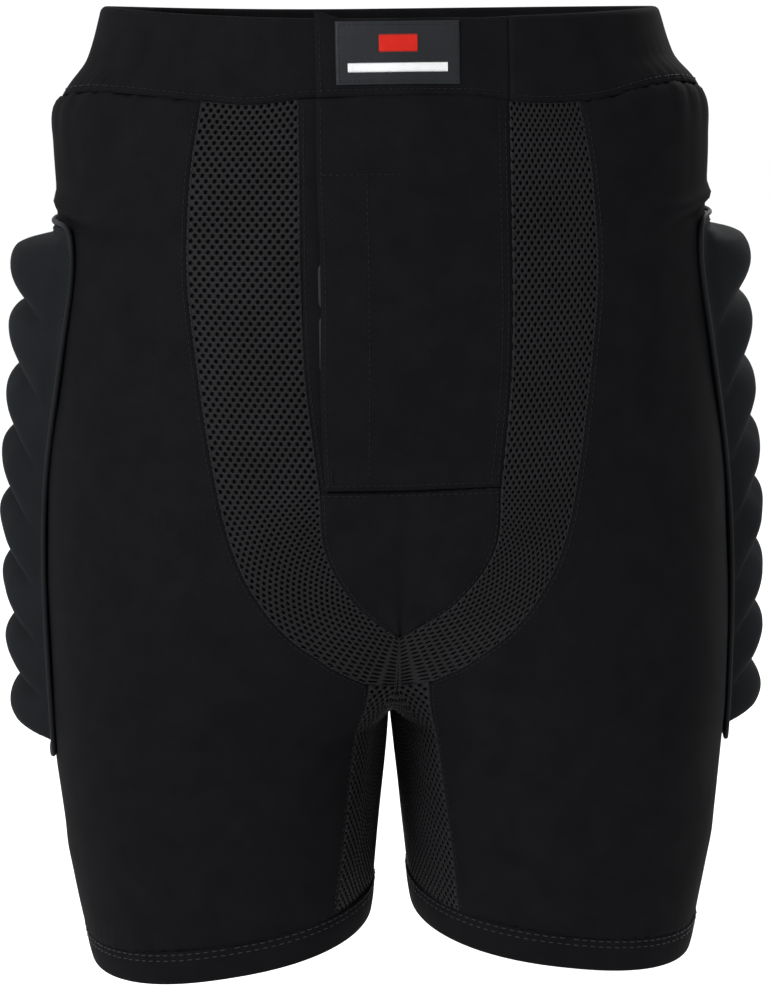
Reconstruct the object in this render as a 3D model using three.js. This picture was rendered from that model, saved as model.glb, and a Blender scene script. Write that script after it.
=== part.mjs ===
// Padded impact shorts for skiing and snowboarding, filled out as on a wearer.
// A stretch-knit shell with mesh inserts carries ribbed foam pads on the hips, the seat and the tailbone.
// The waistband closes with an overlapping tab, and the fly flap sewn below the tab opens with it.
//
// Frame: millimetres, +Z up, +X the wearer's left, -Y the front. The origin is the centre of the waist opening.
// A "height" is above the hem. A "level" is a distance out from the shell's outer face, so cloth lies at
// levels below 0 and pads above 0.

import * as THREE from "three";

// ---- Overall sizes ----
const SIDE_LENGTH = 462; // waist edge to hem, down the outside of the leg
const WAIST_HALF_WIDTH = 138;
const WAIST_FRONT = 97; // waist opening, centre to front
const WAIST_BACK = 93; // waist opening, centre to back
const HIP_HALF_WIDTH = 163;
const THIGH_HALF_WIDTH = 169;
const HEM_HALF_WIDTH = 152;
const BELLY_FRONT = 116;
const SEAT_BACK = 127;
const THIGH_FRONT = 101;
const THIGH_BACK = 106;
const HEM_FRONT = 78;
const HEM_BACK = 86;
const INSEAM = 118; // crotch above the hem
const CROTCH_BOWL = 160; // height over which the two legs run together into one trunk
const LEG_GAP = 12; // half of the gap between the legs at the hem
const HEM_RISE = 20; // the hem is this much higher inside than outside
const SECTION_POWER = 2.3; // 2 is an ellipse, more is squarer
const CREASE_ROUND = 24; // rounds the valley between the two leg tubes

// ---- Waistband, fly and mesh ----
const BAND_HEIGHT = 40;
const WAIST_DIP = 4; // the front of the waist edge is this much lower
const FLY_LENGTH = 175; // fly flap, below the waistband
const HINGE_X = 53; // sewn edge of the flap and tab, on the wearer's left
const FREE_EDGE_X = -34; // free edge of the flap and tab
const UNDERLAP_SEAM_X = -42; // seam between the underlap and the mesh
const UNDERLAP_END_X = 14; // underlap and waistband run on under the flap and tab as far as this
const FLY_FOOT_LEFT = 47; // half widths at the foot of the fly
const FLY_FOOT_RIGHT = 36;
const MESH_FOOT_X = 83; // outer edge of the mesh at the height of the fly's foot
const MESH_WIDEST_X = 94;
const MESH_TOP_X = 86;
const MESH_TIP = 26; // where the mesh bands meet, above the crotch
const PANEL_TIP = 54; // lower tip of the crotch panel, above the crotch
const GUSSET_X = 14; // half width of the inseam gusset where the mesh bands meet
const TAPE_WIDTH = 18;
const TAPE_INSET = 3; // hook tape from the flap's free edge
const TAPE_END_INSET = 8; // hook and loop tapes from the flap's top and foot
const LABEL_WIDTH = 55;
const LABEL_HEIGHT = 30;
const LABEL_DROP = 3; // label from the waist edge

// ---- Cloth, foam and trim thickness ----
const KNIT = 2;
const CASING_LAYER = 1.2;
const ELASTIC = 1.5;
const ELASTIC_WIDTH = 32;
const FLAP = 1.5;
const TAB = 2.5;
const TAPE = 0.7;
const LABEL = 0.8;
const COVER = 1.2;
const WELT = 2.6; // piping, across
const HEM_THICKNESS = 3;
const HEM_TURN_UP = 18;

// ---- Gaps between pieces ----
const GAP = 0.3; // between neighbours
const LAYER_GAP = 0.7; // under a pad
const TAPE_GAP = 0.5; // between a tape and the cloth that it is sewn to
const SEAM_GAP = 0.6; // between a panel and the band above or below it

// ---- Pads: turns are degrees round the leg, 0 front and 90 outside, from the pad's foot to its top ----
const HIP_PAD = { drop: 60, length: 258, front: [71, 75, 78, 71, 63], back: [112, 117, 121, 123, 122] };
const SEAT_PAD = { drop: 102, length: 138, front: [137, 135, 134, 135, 137], back: [160, 163, 164, 163, 161] };
const TAIL_PAD = { drop: 28, length: 128, halfAngle: [8, 11, 14, 17, 17] };
const HIP_RIBS = 8;
const SEAT_RIBS = 4;
const TAIL_RIBS = 4;
const HIP_FOAM = [10, 8]; // thickness in the grooves, and how far the ribs stand above them
const SEAT_FOAM = [7, 6];
const TAIL_FOAM = [6, 5];
const FOAM_EDGE = 3; // foam thickness at its edge
const FLANGE = 0.1; // sewn margin at each side of a pad, as a share of its width
const RIB_STEPS = 3; // rows to one rib

const DEGREE = Math.PI / 180;

// ---- Small helpers ----
const clamp = (value, low, high) => Math.min(high, Math.max(low, value));
const mix = (a, b, share) => a + (b - a) * share;
const smooth = (t) => t * t * (3 - 2 * t);
const steps = (count) => Array.from({ length: count + 1 }, (_, i) => i / count);

// A smooth curve through [position, value] stations, given in rising position.
function curveThrough(stations) {
  const last = stations.length - 1;
  const slopeAt = (i) => {
    const a = stations[Math.max(i - 1, 0)];
    const b = stations[Math.min(i + 1, last)];
    return (b[1] - a[1]) / (b[0] - a[0]);
  };
  return (position) => {
    const p = clamp(position, stations[0][0], stations[last][0]);
    let i = 0;
    while (i < last - 1 && p > stations[i + 1][0]) i += 1;
    const span = stations[i + 1][0] - stations[i][0];
    const t = (p - stations[i][0]) / span;
    return (
      mix(stations[i][1], stations[i + 1][1], smooth(t)) +
      span * t * (1 - t) * ((1 - t) * slopeAt(i) - t * slopeAt(i + 1))
    );
  };
}

// A curve through evenly spaced values, over 0 to 1.
const evenCurve = (values) => curveThrough(values.map((value, i) => [i / (values.length - 1), value]));

// ---- Heights of the seams ----
const BAND_FOOT = SIDE_LENGTH - BAND_HEIGHT;
const PANEL_TOP = BAND_FOOT - SEAM_GAP;
const FLY_FOOT = PANEL_TOP - FLY_LENGTH;
const BOWL_TOP = INSEAM + CROTCH_BOWL;
const GUSSET_TOP = INSEAM + MESH_TIP + 4; // at the gusset's sides; its front tip is lower and its back tip higher

// ---- The body form that the cloth lies on ----
const halfWidth = curveThrough([
  [0, HEM_HALF_WIDTH],
  [0.5 * INSEAM, mix(HEM_HALF_WIDTH, THIGH_HALF_WIDTH, 0.62)],
  [INSEAM, mix(HEM_HALF_WIDTH, THIGH_HALF_WIDTH, 0.92)],
  [mix(INSEAM, BOWL_TOP, 0.5), THIGH_HALF_WIDTH],
  [mix(BOWL_TOP, BAND_FOOT, 0.15), mix(HIP_HALF_WIDTH, THIGH_HALF_WIDTH, 0.4)],
  [mix(BOWL_TOP, BAND_FOOT, 0.57), HIP_HALF_WIDTH - 0.5],
  [mix(BOWL_TOP, BAND_FOOT, 0.85), HIP_HALF_WIDTH],
  [BAND_FOOT - 6, mix(WAIST_HALF_WIDTH, HIP_HALF_WIDTH, 0.88)],
  [BAND_FOOT + 5, mix(WAIST_HALF_WIDTH, HIP_HALF_WIDTH, 0.5)],
  [BAND_FOOT + 18, mix(WAIST_HALF_WIDTH, HIP_HALF_WIDTH, 0.14)],
  [SIDE_LENGTH + 10, WAIST_HALF_WIDTH],
]);
const frontDepth = curveThrough([
  [0, HEM_FRONT],
  [INSEAM, THIGH_FRONT],
  [mix(INSEAM, FLY_FOOT, 0.55), mix(THIGH_FRONT, BELLY_FRONT, 0.72)],
  [FLY_FOOT, BELLY_FRONT],
  [mix(FLY_FOOT, SIDE_LENGTH, 0.33), mix(BELLY_FRONT, WAIST_FRONT, 0.31)],
  [mix(FLY_FOOT, SIDE_LENGTH, 0.66), mix(BELLY_FRONT, WAIST_FRONT, 0.63)],
  [SIDE_LENGTH + 10, WAIST_FRONT],
]);
const backDepth = curveThrough([
  [0, HEM_BACK],
  [INSEAM, THIGH_BACK],
  [mix(INSEAM, BOWL_TOP, 0.6), mix(THIGH_BACK, SEAT_BACK, 0.8)],
  [BOWL_TOP, SEAT_BACK],
  [mix(BOWL_TOP, SIDE_LENGTH, 0.5), mix(SEAT_BACK, WAIST_BACK, 0.4)],
  [SIDE_LENGTH + 10, WAIST_BACK],
]);

// The cross-section at one height: one leg tube, cut off at the middle plane where the legs run together.
function section(height) {
  const width = halfWidth(height);
  const front = frontDepth(height);
  const back = backDepth(height);
  const joined = Math.pow(clamp((BOWL_TOP - height) / CROTCH_BOWL, 0, 1), 1.7); // 0 one trunk, 1 two legs
  const gap = LEG_GAP * clamp(1 - height / INSEAM, 0, 1);
  const isLeg = height <= INSEAM;
  return {
    width,
    centreX: isLeg ? (width + gap) / 2 : (joined * width) / (1 + joined),
    radiusX: isLeg ? (width - gap) / 2 : width / (1 + joined),
    centreY: (back - front) / 2,
    radiusY: (back + front) / 2,
    round: isLeg ? 0 : CREASE_ROUND * (1 - joined),
  };
}

// A point on the wearer's left half. Turn is in degrees about the tube: 0 front, 90 outside, 180 back, 270 inside.
function formPoint(turn, height) {
  const s = section(height);
  const sine = Math.sin(turn * DEGREE);
  const x = s.centreX + s.radiusX * Math.sign(sine) * Math.pow(Math.abs(sine), 2 / SECTION_POWER);
  const eased = Math.sqrt(x * x + s.round * s.round * Math.max(0, 1 - (x * x) / (s.width * s.width)));
  const across = clamp(Math.abs(s.round > 0 ? eased - s.centreX : x - s.centreX) / s.radiusX, 0, 1);
  const deep = Math.pow(1 - Math.pow(across, SECTION_POWER), 1 / SECTION_POWER);
  return new THREE.Vector3(x, s.centreY - Math.sign(Math.cos(turn * DEGREE)) * s.radiusY * deep, height);
}

// The outward direction there, from small steps over the form.
function formNormal(turn, height) {
  const round = formPoint(turn + 0.5, height).sub(formPoint(turn - 0.5, height));
  const up = formPoint(turn, height + 1).sub(formPoint(turn, height - 1));
  return round.cross(up).normalize();
}

// A point on the form, side 1 for the wearer's left and -1 for the right. It stays off the middle plane.
function skin(side, turn, height, level) {
  const p = formPoint(turn, height).addScaledVector(formNormal(turn, height), level);
  p.x = side * Math.max(p.x, GAP / 2);
  return p;
}

// The turn at which the form is x from the middle plane, at the front. At the back it is 180 less this.
function turnAtX(x, height) {
  const s = section(height);
  const share = clamp((x - s.centreX) / s.radiusX, -1, 1);
  return (Math.sign(share) * Math.asin(Math.pow(Math.abs(share), SECTION_POWER / 2))) / DEGREE;
}

// A point on the front by its x, across the middle plane.
function frontSkin(x, height, level) {
  const turn = turnAtX(Math.abs(x), height);
  const p = formPoint(turn, height).addScaledVector(formNormal(turn, height), level);
  if (x < 0) p.x = -p.x;
  return p;
}

// A point by the angle round the trunk: 0 front, 90 the wearer's left, 180 back, 270 the right.
function trunkSkin(angle, height, level) {
  const sine = Math.sin(angle * DEGREE);
  const turn = Math.acos(clamp(Math.cos(angle * DEGREE), -1, 1)) / DEGREE;
  const p = formPoint(turn, height).addScaledVector(formNormal(turn, height), level);
  if (sine < 0) p.x = -p.x;
  return p;
}

const waistEdge = (p) => SIDE_LENGTH - WAIST_DIP * clamp(-p.y / WAIST_FRONT, 0, 1) ** 2;
const hemEdge = (p) => (HEM_RISE * (HEM_HALF_WIDTH - Math.abs(p.x))) / (HEM_HALF_WIDTH - LEG_GAP);

// Puts a point of the form on a line parallel to the hem, with its height from its own x.
function overHem(side, turn, above, level) {
  let p = formPoint(turn, above);
  for (let pass = 0; pass < 3; pass += 1) p = skin(side, turn, above + hemEdge(p), level);
  p.z = above + hemEdge(p);
  return p;
}

// ---- Solids ----
// A closed solid from points and triangles, with its faces turned outwards.
function solid(points, triangles) {
  let volume = 0;
  for (let i = 0; i < triangles.length; i += 3) {
    const [a, b, c] = triangles.slice(i, i + 3).map((k) => points[k]);
    volume += a.dot(new THREE.Vector3().crossVectors(b, c));
  }
  if (volume < 0) triangles.reverse();
  const geometry = new THREE.BufferGeometry();
  const positions = points.flatMap((p) => p.toArray());
  geometry.setAttribute("position", new THREE.Float32BufferAttribute(positions, 3));
  geometry.setIndex(triangles);
  geometry.computeVertexNormals();
  return geometry;
}

// A closed solid through loops of points that match one to one: a ring, or a bar with flat ends.
function sweep(loops, isRing) {
  const count = loops[0].length;
  const triangles = [];
  loops.slice(isRing ? 0 : 1).forEach((_, i) => {
    const a = i * count;
    const b = ((i + 1) % loops.length) * count;
    for (let k = 0; k < count; k += 1) {
      const next = (k + 1) % count;
      triangles.push(a + k, b + k, b + next, a + k, b + next, a + next);
    }
  });
  if (!isRing) {
    const end = (loops.length - 1) * count;
    for (const [p, q, r] of THREE.ShapeUtils.triangulateShape(flatLoop(loops[0]), [])) {
      triangles.push(p, q, r, end + p, end + r, end + q);
    }
  }
  return solid(loops.flat(), triangles);
}

// A loop's points in its own plane, turning anticlockwise.
function flatLoop(loop) {
  const normal = new THREE.Vector3();
  loop.forEach((p, i) => {
    const q = loop[(i + 1) % loop.length];
    normal.add(p.clone().sub(loop[0]).cross(q.clone().sub(loop[0])));
  });
  const u = loop[1].clone().sub(loop[0]).normalize();
  const v = normal.normalize().cross(u);
  return loop.map((p) => new THREE.Vector2(p.dot(u), p.dot(v)));
}

// A closed solid between two matching grids of points, [column][row].
function slab(outer, inner) {
  const rows = outer[0].length;
  const size = outer.length * rows;
  const triangles = [];
  const quad = (a, b, c, d) => triangles.push(a, b, c, a, c, d);
  for (let i = 1; i < outer.length; i += 1) {
    const [left, right] = [(i - 1) * rows, i * rows];
    for (let j = 1; j < rows; j += 1) {
      quad(left + j - 1, right + j - 1, right + j, left + j);
      quad(size + left + j - 1, size + left + j, size + right + j, size + right + j - 1);
    }
    quad(left, size + left, size + right, right);
    quad(left + rows - 1, right + rows - 1, size + right + rows - 1, size + left + rows - 1);
  }
  const last = size - rows;
  for (let j = 1; j < rows; j += 1) {
    quad(j - 1, j, size + j, size + j - 1);
    quad(last + j - 1, size + last + j - 1, size + last + j, last + j);
  }
  return solid([...outer.flat(), ...inner.flat()], triangles);
}

// A layer of cloth or foam, from place(u, row, level) and its two levels, each a number or a function of (u, row).
function layer(across, rows, place, low, high) {
  const at = (level, u, row) => (typeof level === "function" ? level(u, row) : level);
  const face = (level) => across.map((u) => rows.map((row) => place(u, row, at(level, u, row))));
  return slab(face(high), face(low));
}

// ---- Materials ----
const finish = (color, roughness) => new THREE.MeshStandardMaterial({ color, roughness, metalness: 0 });
const KNIT_JERSEY = finish(0x191a1c, 0.9);
const AIR_MESH = finish(0x232325, 0.75);
const ELASTIC_WEBBING = finish(0x2e2e30, 0.85);
const PAD_JERSEY = finish(0x2a2c2f, 0.55);
const PAD_FOAM = finish(0x3a3a3c, 0.95);
const HOOK_AND_LOOP = finish(0x303033, 0.8);
const WOVEN_LABEL = finish(0x34363a, 0.6);
const WELT_CORD = finish(0x222427, 0.6);

const shorts = new THREE.Group();
shorts.position.z = -SIDE_LENGTH;

function add(name, material, geometry) {
  const mesh = new THREE.Mesh(geometry, material);
  mesh.name = name;
  shorts.add(mesh);
}

// A piece on each leg: build(side) gives its geometry.
function addPair(name, material, build) {
  add(`${name}_left`, material, build(1));
  add(`${name}_right`, material, build(-1));
}

// ---- Seams of the shell, as x from the middle plane at a height ----
const MESH_LOW = INSEAM + MESH_TIP; // mesh bands meet, lower edge
const meshOuterX = curveThrough([
  [GUSSET_TOP, GUSSET_X],
  [mix(GUSSET_TOP, FLY_FOOT, 0.12), 32],
  [mix(GUSSET_TOP, FLY_FOOT, 0.33), 0.67 * MESH_FOOT_X],
  [mix(GUSSET_TOP, FLY_FOOT, 0.62), 0.88 * MESH_FOOT_X],
  [FLY_FOOT, MESH_FOOT_X],
  [mix(FLY_FOOT, PANEL_TOP, 0.5), MESH_WIDEST_X],
  [mix(FLY_FOOT, PANEL_TOP, 0.78), mix(MESH_WIDEST_X, MESH_TOP_X, 0.2)],
  [PANEL_TOP, MESH_TOP_X],
]);
const PANEL_LOW = INSEAM + PANEL_TIP;
function innerSeam(foot, top) {
  return curveThrough([
    [PANEL_LOW, GAP],
    [mix(PANEL_LOW, FLY_FOOT, 0.25), 0.55 * foot],
    [mix(PANEL_LOW, FLY_FOOT, 0.6), 0.93 * foot],
    [FLY_FOOT, foot],
    [mix(FLY_FOOT, PANEL_TOP, 0.35), top],
    [PANEL_TOP, top],
  ]);
}
const flySeamX = innerSeam(FLY_FOOT_LEFT, HINGE_X); // on the wearer's left
const underlapSeamX = innerSeam(FLY_FOOT_RIGHT, -UNDERLAP_SEAM_X); // on the right
const SIDE_SEAM_TURN = 108; // under the hip pad

// Turn of the front edge of the inseam gusset. Its back edge is at 180 less this.
const GUSSET_HEM_TURN = -41;
function gussetTurn(height) {
  const atCrotch = turnAtX(GUSSET_X + 5, INSEAM);
  if (height <= INSEAM) return mix(GUSSET_HEM_TURN, atCrotch, clamp(height / INSEAM, 0, 1));
  const top = turnAtX(GUSSET_X, GUSSET_TOP);
  return mix(atCrotch, top, clamp((height - INSEAM) / (GUSSET_TOP - INSEAM), 0, 1));
}

// Heights shared by neighbouring panels, so that their edges run together. HEM stands for the hem's own line.
const HEM = 0;
const LEG_ROWS = [HEM, ...[0.46, 0.74, 1].map((s) => s * INSEAM)];
const CURVE_ROWS = [0, 0.1, 0.22, 0.38, 0.58, 0.79, 1].map((s) => mix(GUSSET_TOP, FLY_FOOT, s));
const TRUNK_ROWS = [0.14, 0.32, 0.5, 0.6, 0.68, 0.78, 0.9, 1].map((s) => mix(FLY_FOOT, PANEL_TOP, s));
const ABOVE_TURN_UP = HEM_TURN_UP + SEAM_GAP;

// A point of the shell at one of those heights.
function shellPoint(side, turn, row, level) {
  return row === HEM ? overHem(side, turn, ABOVE_TURN_UP, level) : skin(side, turn, row, level);
}

// ---- Front and back panels ----
addPair("thigh_panel", KNIT_JERSEY, (side) => {
  const innerTurn = (row) =>
    row < GUSSET_TOP ? gussetTurn(row) : turnAtX(meshOuterX(row) + GAP / 2, row);
  const place = (u, row, level) => {
    const turn = mix(innerTurn(row), SIDE_SEAM_TURN, u);
    return shellPoint(side, turn, row, level);
  };
  return layer(steps(9), [...LEG_ROWS, ...CURVE_ROWS, ...TRUNK_ROWS], place, -KNIT, 0);
});

const SEAM_TURN_GAP = 0.3; // degrees, about the usual gap on the thigh
const GUSSET_BACK_TIP = GUSSET_TOP + 5;
const SEAT_ROWS = [...LEG_ROWS, GUSSET_TOP, GUSSET_BACK_TIP, ...CURVE_ROWS.slice(2), ...TRUNK_ROWS];
addPair("seat_panel", KNIT_JERSEY, (side) => {
  const place = (u, row, level) => {
    const innerTurn = 180 - (row <= GUSSET_TOP ? gussetTurn(row) : turnAtX(GAP / 2, row));
    return shellPoint(side, mix(SIDE_SEAM_TURN + SEAM_TURN_GAP, innerTurn, u), row, level);
  };
  return layer(steps(7), SEAT_ROWS, place, -KNIT, 0);
});

// ---- Inseam gusset, a strip of mesh from the crotch down the inside of each leg ----
// Its front and back edges lie on the panels' edges, and its top runs along the valley between the legs.
addPair("inseam_mesh", AIR_MESH, (side) => {
  const spread = (height) => 90 + gussetTurn(height) - SEAM_TURN_GAP;
  const turnOf = (u, height) => -90 + (1 - 2 * u) * spread(height);
  const tip = (u) => (u < 0.5 ? MESH_LOW : GUSSET_BACK_TIP);
  const inside = (u, height) => {
    const x = formPoint(turnOf(u, height), height).x;
    return x > GAP / 2 && height < mix(tip(u), GUSSET_TOP, clamp(x / GUSSET_X, 0, 1)) - SEAM_GAP;
  };
  const topOf = (u) => {
    let [low, high] = [INSEAM, GUSSET_BACK_TIP];
    for (let pass = 0; pass < 24; pass += 1) {
      const middle = (low + high) / 2;
      if (inside(u, middle)) low = middle;
      else high = middle;
    }
    return low;
  };
  const foot = overHem(1, turnOf(0, 0), ABOVE_TURN_UP, 0).z;
  const place = (u, row, level) => {
    const hem = overHem(side, turnOf(u, 0), ABOVE_TURN_UP, level);
    if (row === HEM) return hem;
    const height = mix(hem.z, topOf(u), (row - foot) / (GUSSET_TOP - foot));
    return skin(side, turnOf(u, height), height, level);
  };
  return layer(steps(10), [...LEG_ROWS, GUSSET_TOP], place, -KNIT, 0);
});

// ---- Mesh bands and crotch panel ----
// Rows pair a height on the outer edge with one on the inner edge, which ends higher up at the middle.
const innerHeight = (height) =>
  height >= FLY_FOOT
    ? height
    : mix(FLY_FOOT, PANEL_LOW, (FLY_FOOT - height) / (FLY_FOOT - MESH_LOW));
addPair("front_mesh", AIR_MESH, (side) => {
  const innerX = side > 0 ? flySeamX : underlapSeamX;
  const outerX = (row) =>
    row < GUSSET_TOP ? GUSSET_X * (row - MESH_LOW) / (GUSSET_TOP - MESH_LOW) : meshOuterX(row);
  const place = (u, row, level) => {
    const inner = innerHeight(row);
    const x = mix(innerX(inner) + GAP / 2, outerX(row) - GAP / 2, u);
    const height = mix(inner, row, u);
    return skin(side, turnAtX(Math.max(x, GAP / 2), height), height, level);
  };
  const rows = [MESH_LOW, mix(MESH_LOW, GUSSET_TOP, 0.5), ...CURVE_ROWS, ...TRUNK_ROWS];
  return layer(steps(4), rows, place, -KNIT, 0);
});

const crotchRows = [mix(MESH_LOW, GUSSET_TOP, 0.5), ...CURVE_ROWS].map(innerHeight);
add(
  "crotch_panel",
  KNIT_JERSEY,
  layer(
    steps(8),
    crotchRows,
    (u, row, level) => frontSkin(mix(-underlapSeamX(row), flySeamX(row), u) + mix(GAP, -GAP, u) / 2, row, level),
    -KNIT,
    0,
  ),
);

// ---- Fly flap over its underlap ----
// The flap and tab rise off the shell towards their free edge, to clear what lies under them.
const tapeStack = 2 * (TAPE_GAP + TAPE) + GAP;
const flyRise = (x) => smooth(clamp((HINGE_X - x) / (HINGE_X + 5), 0, 1));
const FLY_ROWS = [FLY_FOOT + SEAM_GAP, ...TRUNK_ROWS];
const hookTapeX = [FREE_EDGE_X + TAPE_INSET, FREE_EDGE_X + TAPE_INSET + TAPE_WIDTH];

// A patch of the front between two x values, at levels that may depend on x.
function frontPatch(material, name, columns, rows, leftX, rightX, low, high) {
  const xAt = (u, row) => mix(leftX(row), rightX(row), u);
  const place = (u, row, level) => frontSkin(xAt(u, row), row, level);
  const at = (level) => (u, row) => level(xAt(u, row));
  add(name, material, layer(steps(columns), rows, place, at(low), at(high)));
}
const always = (value) => () => value;
const hingeEdge = (row) => flySeamX(row) - GAP / 2;
const flapTop = (x) => (tapeStack + FLAP) * flyRise(x);
const tabTop = (x) => (tapeStack + TAB) * flyRise(x);
const tapeRows = [FLY_FOOT + TAPE_END_INSET, ...TRUNK_ROWS.slice(0, -1), PANEL_TOP - TAPE_END_INSET];

frontPatch(
  KNIT_JERSEY, "fly_underlap", 4, FLY_ROWS,
  (row) => GAP / 2 - underlapSeamX(row), always(UNDERLAP_END_X), always(-KNIT), always(0),
);
frontPatch(
  HOOK_AND_LOOP, "fly_loop_tape", 2, tapeRows,
  always(hookTapeX[0]), always(hookTapeX[1]), always(TAPE_GAP), always(TAPE_GAP + TAPE),
);
frontPatch(
  HOOK_AND_LOOP, "fly_hook_tape", 2, tapeRows,
  always(hookTapeX[0]), always(hookTapeX[1]),
  (x) => flapTop(x) - FLAP - TAPE_GAP - TAPE, (x) => flapTop(x) - FLAP - TAPE_GAP,
);
frontPatch(
  KNIT_JERSEY, "fly_flap", 8, FLY_ROWS,
  always(FREE_EDGE_X), hingeEdge, (x) => flapTop(x) - FLAP, flapTop,
);

// ---- Waistband ----
// A casing of one folded strip, open along its foot where it is sewn to the panels, with elastic inside.
const CASING_DEPTH = 2 * (CASING_LAYER + GAP) + ELASTIC;
const bandTurn = (x, fromTop) => turnAtX(x, SIDE_LENGTH - fromTop);
const BAND_STEPS = 36;
const elasticTop = (BAND_HEIGHT - ELASTIC_WIDTH) / 2;
const BAND_MIDDLE = [0, 0.5, 0.8, 1].map((share) => elasticTop + share * ELASTIC_WIDTH);

// Moves a point of the band to its place between the waist edge, which dips at the front, and the level foot.
function bandHeight(p, fromTop) {
  p.z = mix(waistEdge(p), BAND_FOOT, fromTop / BAND_HEIGHT);
  return p;
}
// A point of the band by its share of the way round, from the flap's sewn edge to the end under the tab.
function bandPoint(share, fromTop, level) {
  const start = bandTurn(HINGE_X + GAP, fromTop);
  const end = 360 + bandTurn(UNDERLAP_END_X, fromTop);
  return bandHeight(trunkSkin(mix(start, end, share), SIDE_LENGTH - fromTop, level), fromTop);
}
const bandFace = (share, top, level) =>
  [top, ...BAND_MIDDLE, BAND_HEIGHT].map((fromTop) => bandPoint(share, fromTop, level));

// The casing's section: down the outer face, up inside it, down inside the inner face and up the inner face.
const casingLoop = (share) => [
  ...bandFace(share, 0, 0),
  ...bandFace(share, CASING_LAYER, -CASING_LAYER).reverse(),
  ...bandFace(share, CASING_LAYER, CASING_LAYER - CASING_DEPTH),
  ...bandFace(share, 0, -CASING_DEPTH).reverse(),
];
add("waistband_casing", KNIT_JERSEY, sweep(steps(BAND_STEPS).map(casingLoop), false));

function elasticLoop(share) {
  const level = -CASING_LAYER - GAP;
  const face = (depth) => BAND_MIDDLE.map((fromTop) => bandPoint(share, fromTop, depth));
  return [...face(level).reverse(), ...face(level - ELASTIC)];
}
add("waistband_elastic", ELASTIC_WEBBING, sweep(steps(BAND_STEPS).slice(1, -1).map(elasticLoop), false));

// The tab carries the label on its face and hook tape behind its free edge.
function bandPatch(material, name, columns, fromTop, leftX, rightX, low, high) {
  const xAt = (u) => mix(leftX, rightX, u);
  const place = (u, row, level) => bandHeight(frontSkin(xAt(u), SIDE_LENGTH - row, level), row);
  const at = (level) => (u) => level(xAt(u));
  add(name, material, layer(steps(columns), fromTop, place, at(low), at(high)));
}
bandPatch(
  HOOK_AND_LOOP, "waist_loop_tape", 2, BAND_MIDDLE,
  hookTapeX[0], hookTapeX[1], always(TAPE_GAP), always(TAPE_GAP + TAPE),
);
bandPatch(
  HOOK_AND_LOOP, "tab_hook_tape", 2, BAND_MIDDLE, hookTapeX[0], hookTapeX[1],
  (x) => tabTop(x) - TAB - TAPE_GAP - TAPE, (x) => tabTop(x) - TAB - TAPE_GAP,
);
bandPatch(
  KNIT_JERSEY, "closure_tab", 8, [0, ...BAND_MIDDLE, BAND_HEIGHT],
  FREE_EDGE_X, HINGE_X - GAP / 2, (x) => tabTop(x) - TAB, tabTop,
);
bandPatch(
  WOVEN_LABEL, "label_patch", 6, BAND_MIDDLE,
  -LABEL_WIDTH / 2, LABEL_WIDTH / 2, (x) => tabTop(x) + GAP, (x) => tabTop(x) + GAP + LABEL,
);

// ---- Hems: each leg's turned-up edge, flat along the hem's plane ----
addPair("hem_band", KNIT_JERSEY, (side) => {
  const loopAt = (turn) => [
    overHem(side, turn, 0, 0),
    overHem(side, turn, HEM_TURN_UP, 0),
    overHem(side, turn, HEM_TURN_UP, -HEM_THICKNESS),
    overHem(side, turn, 0, -HEM_THICKNESS),
  ];
  return sweep(steps(24).slice(1).map((v) => loopAt(360 * v)), true);
});

// ---- Pads ----
// Each has a ribbed foam core, a moulded cover with a flat sewn margin, and a welt round its edge.
// place(u, v, level): u runs across and v from the foot to the top, both 0 to 1.
const END_FLANGE = 0.035; // sewn margin at the foot and top, as a share of the length
const ribHeight = (phase) => Math.sqrt(1 - Math.pow(Math.abs(2 * phase - 1), 2.2));

function padPieces(place, columns, ribs, [base, rib]) {
  const across = [0, ...steps(columns).map((u) => mix(FLANGE, 1 - FLANGE, u)), 1];
  const up = [0, ...steps(ribs * RIB_STEPS).map((v) => mix(END_FLANGE, 1 - END_FLANGE, v)), 1];
  const foamHeight = (u, v) => {
    const s = (u - FLANGE) / (1 - 2 * FLANGE);
    const t = (v - END_FLANGE) / (1 - 2 * END_FLANGE);
    const atEdge = s < 0.001 || s > 0.999 || t < 0.001 || t > 0.999;
    const ribbed = base + rib * ribHeight((t * ribs) % 1);
    return atEdge ? FOAM_EDGE : mix(FOAM_EDGE, ribbed, Math.pow(Math.sin(Math.PI * s), 0.5));
  };
  const isMargin = (u, v) => u === 0 || u === 1 || v === 0 || v === 1;
  const lining = (u, v) => (isMargin(u, v) ? LAYER_GAP : foamHeight(u, v) + GAP + LAYER_GAP);
  const coverFace = (u, v) => lining(u, v) + COVER;
  return {
    foam: layer(across.slice(1, -1), up.slice(1, -1), place, LAYER_GAP, foamHeight),
    cover: layer(across, up, place, lining, coverFace),
    welt: welt(place, across, up),
  };
}

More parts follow.
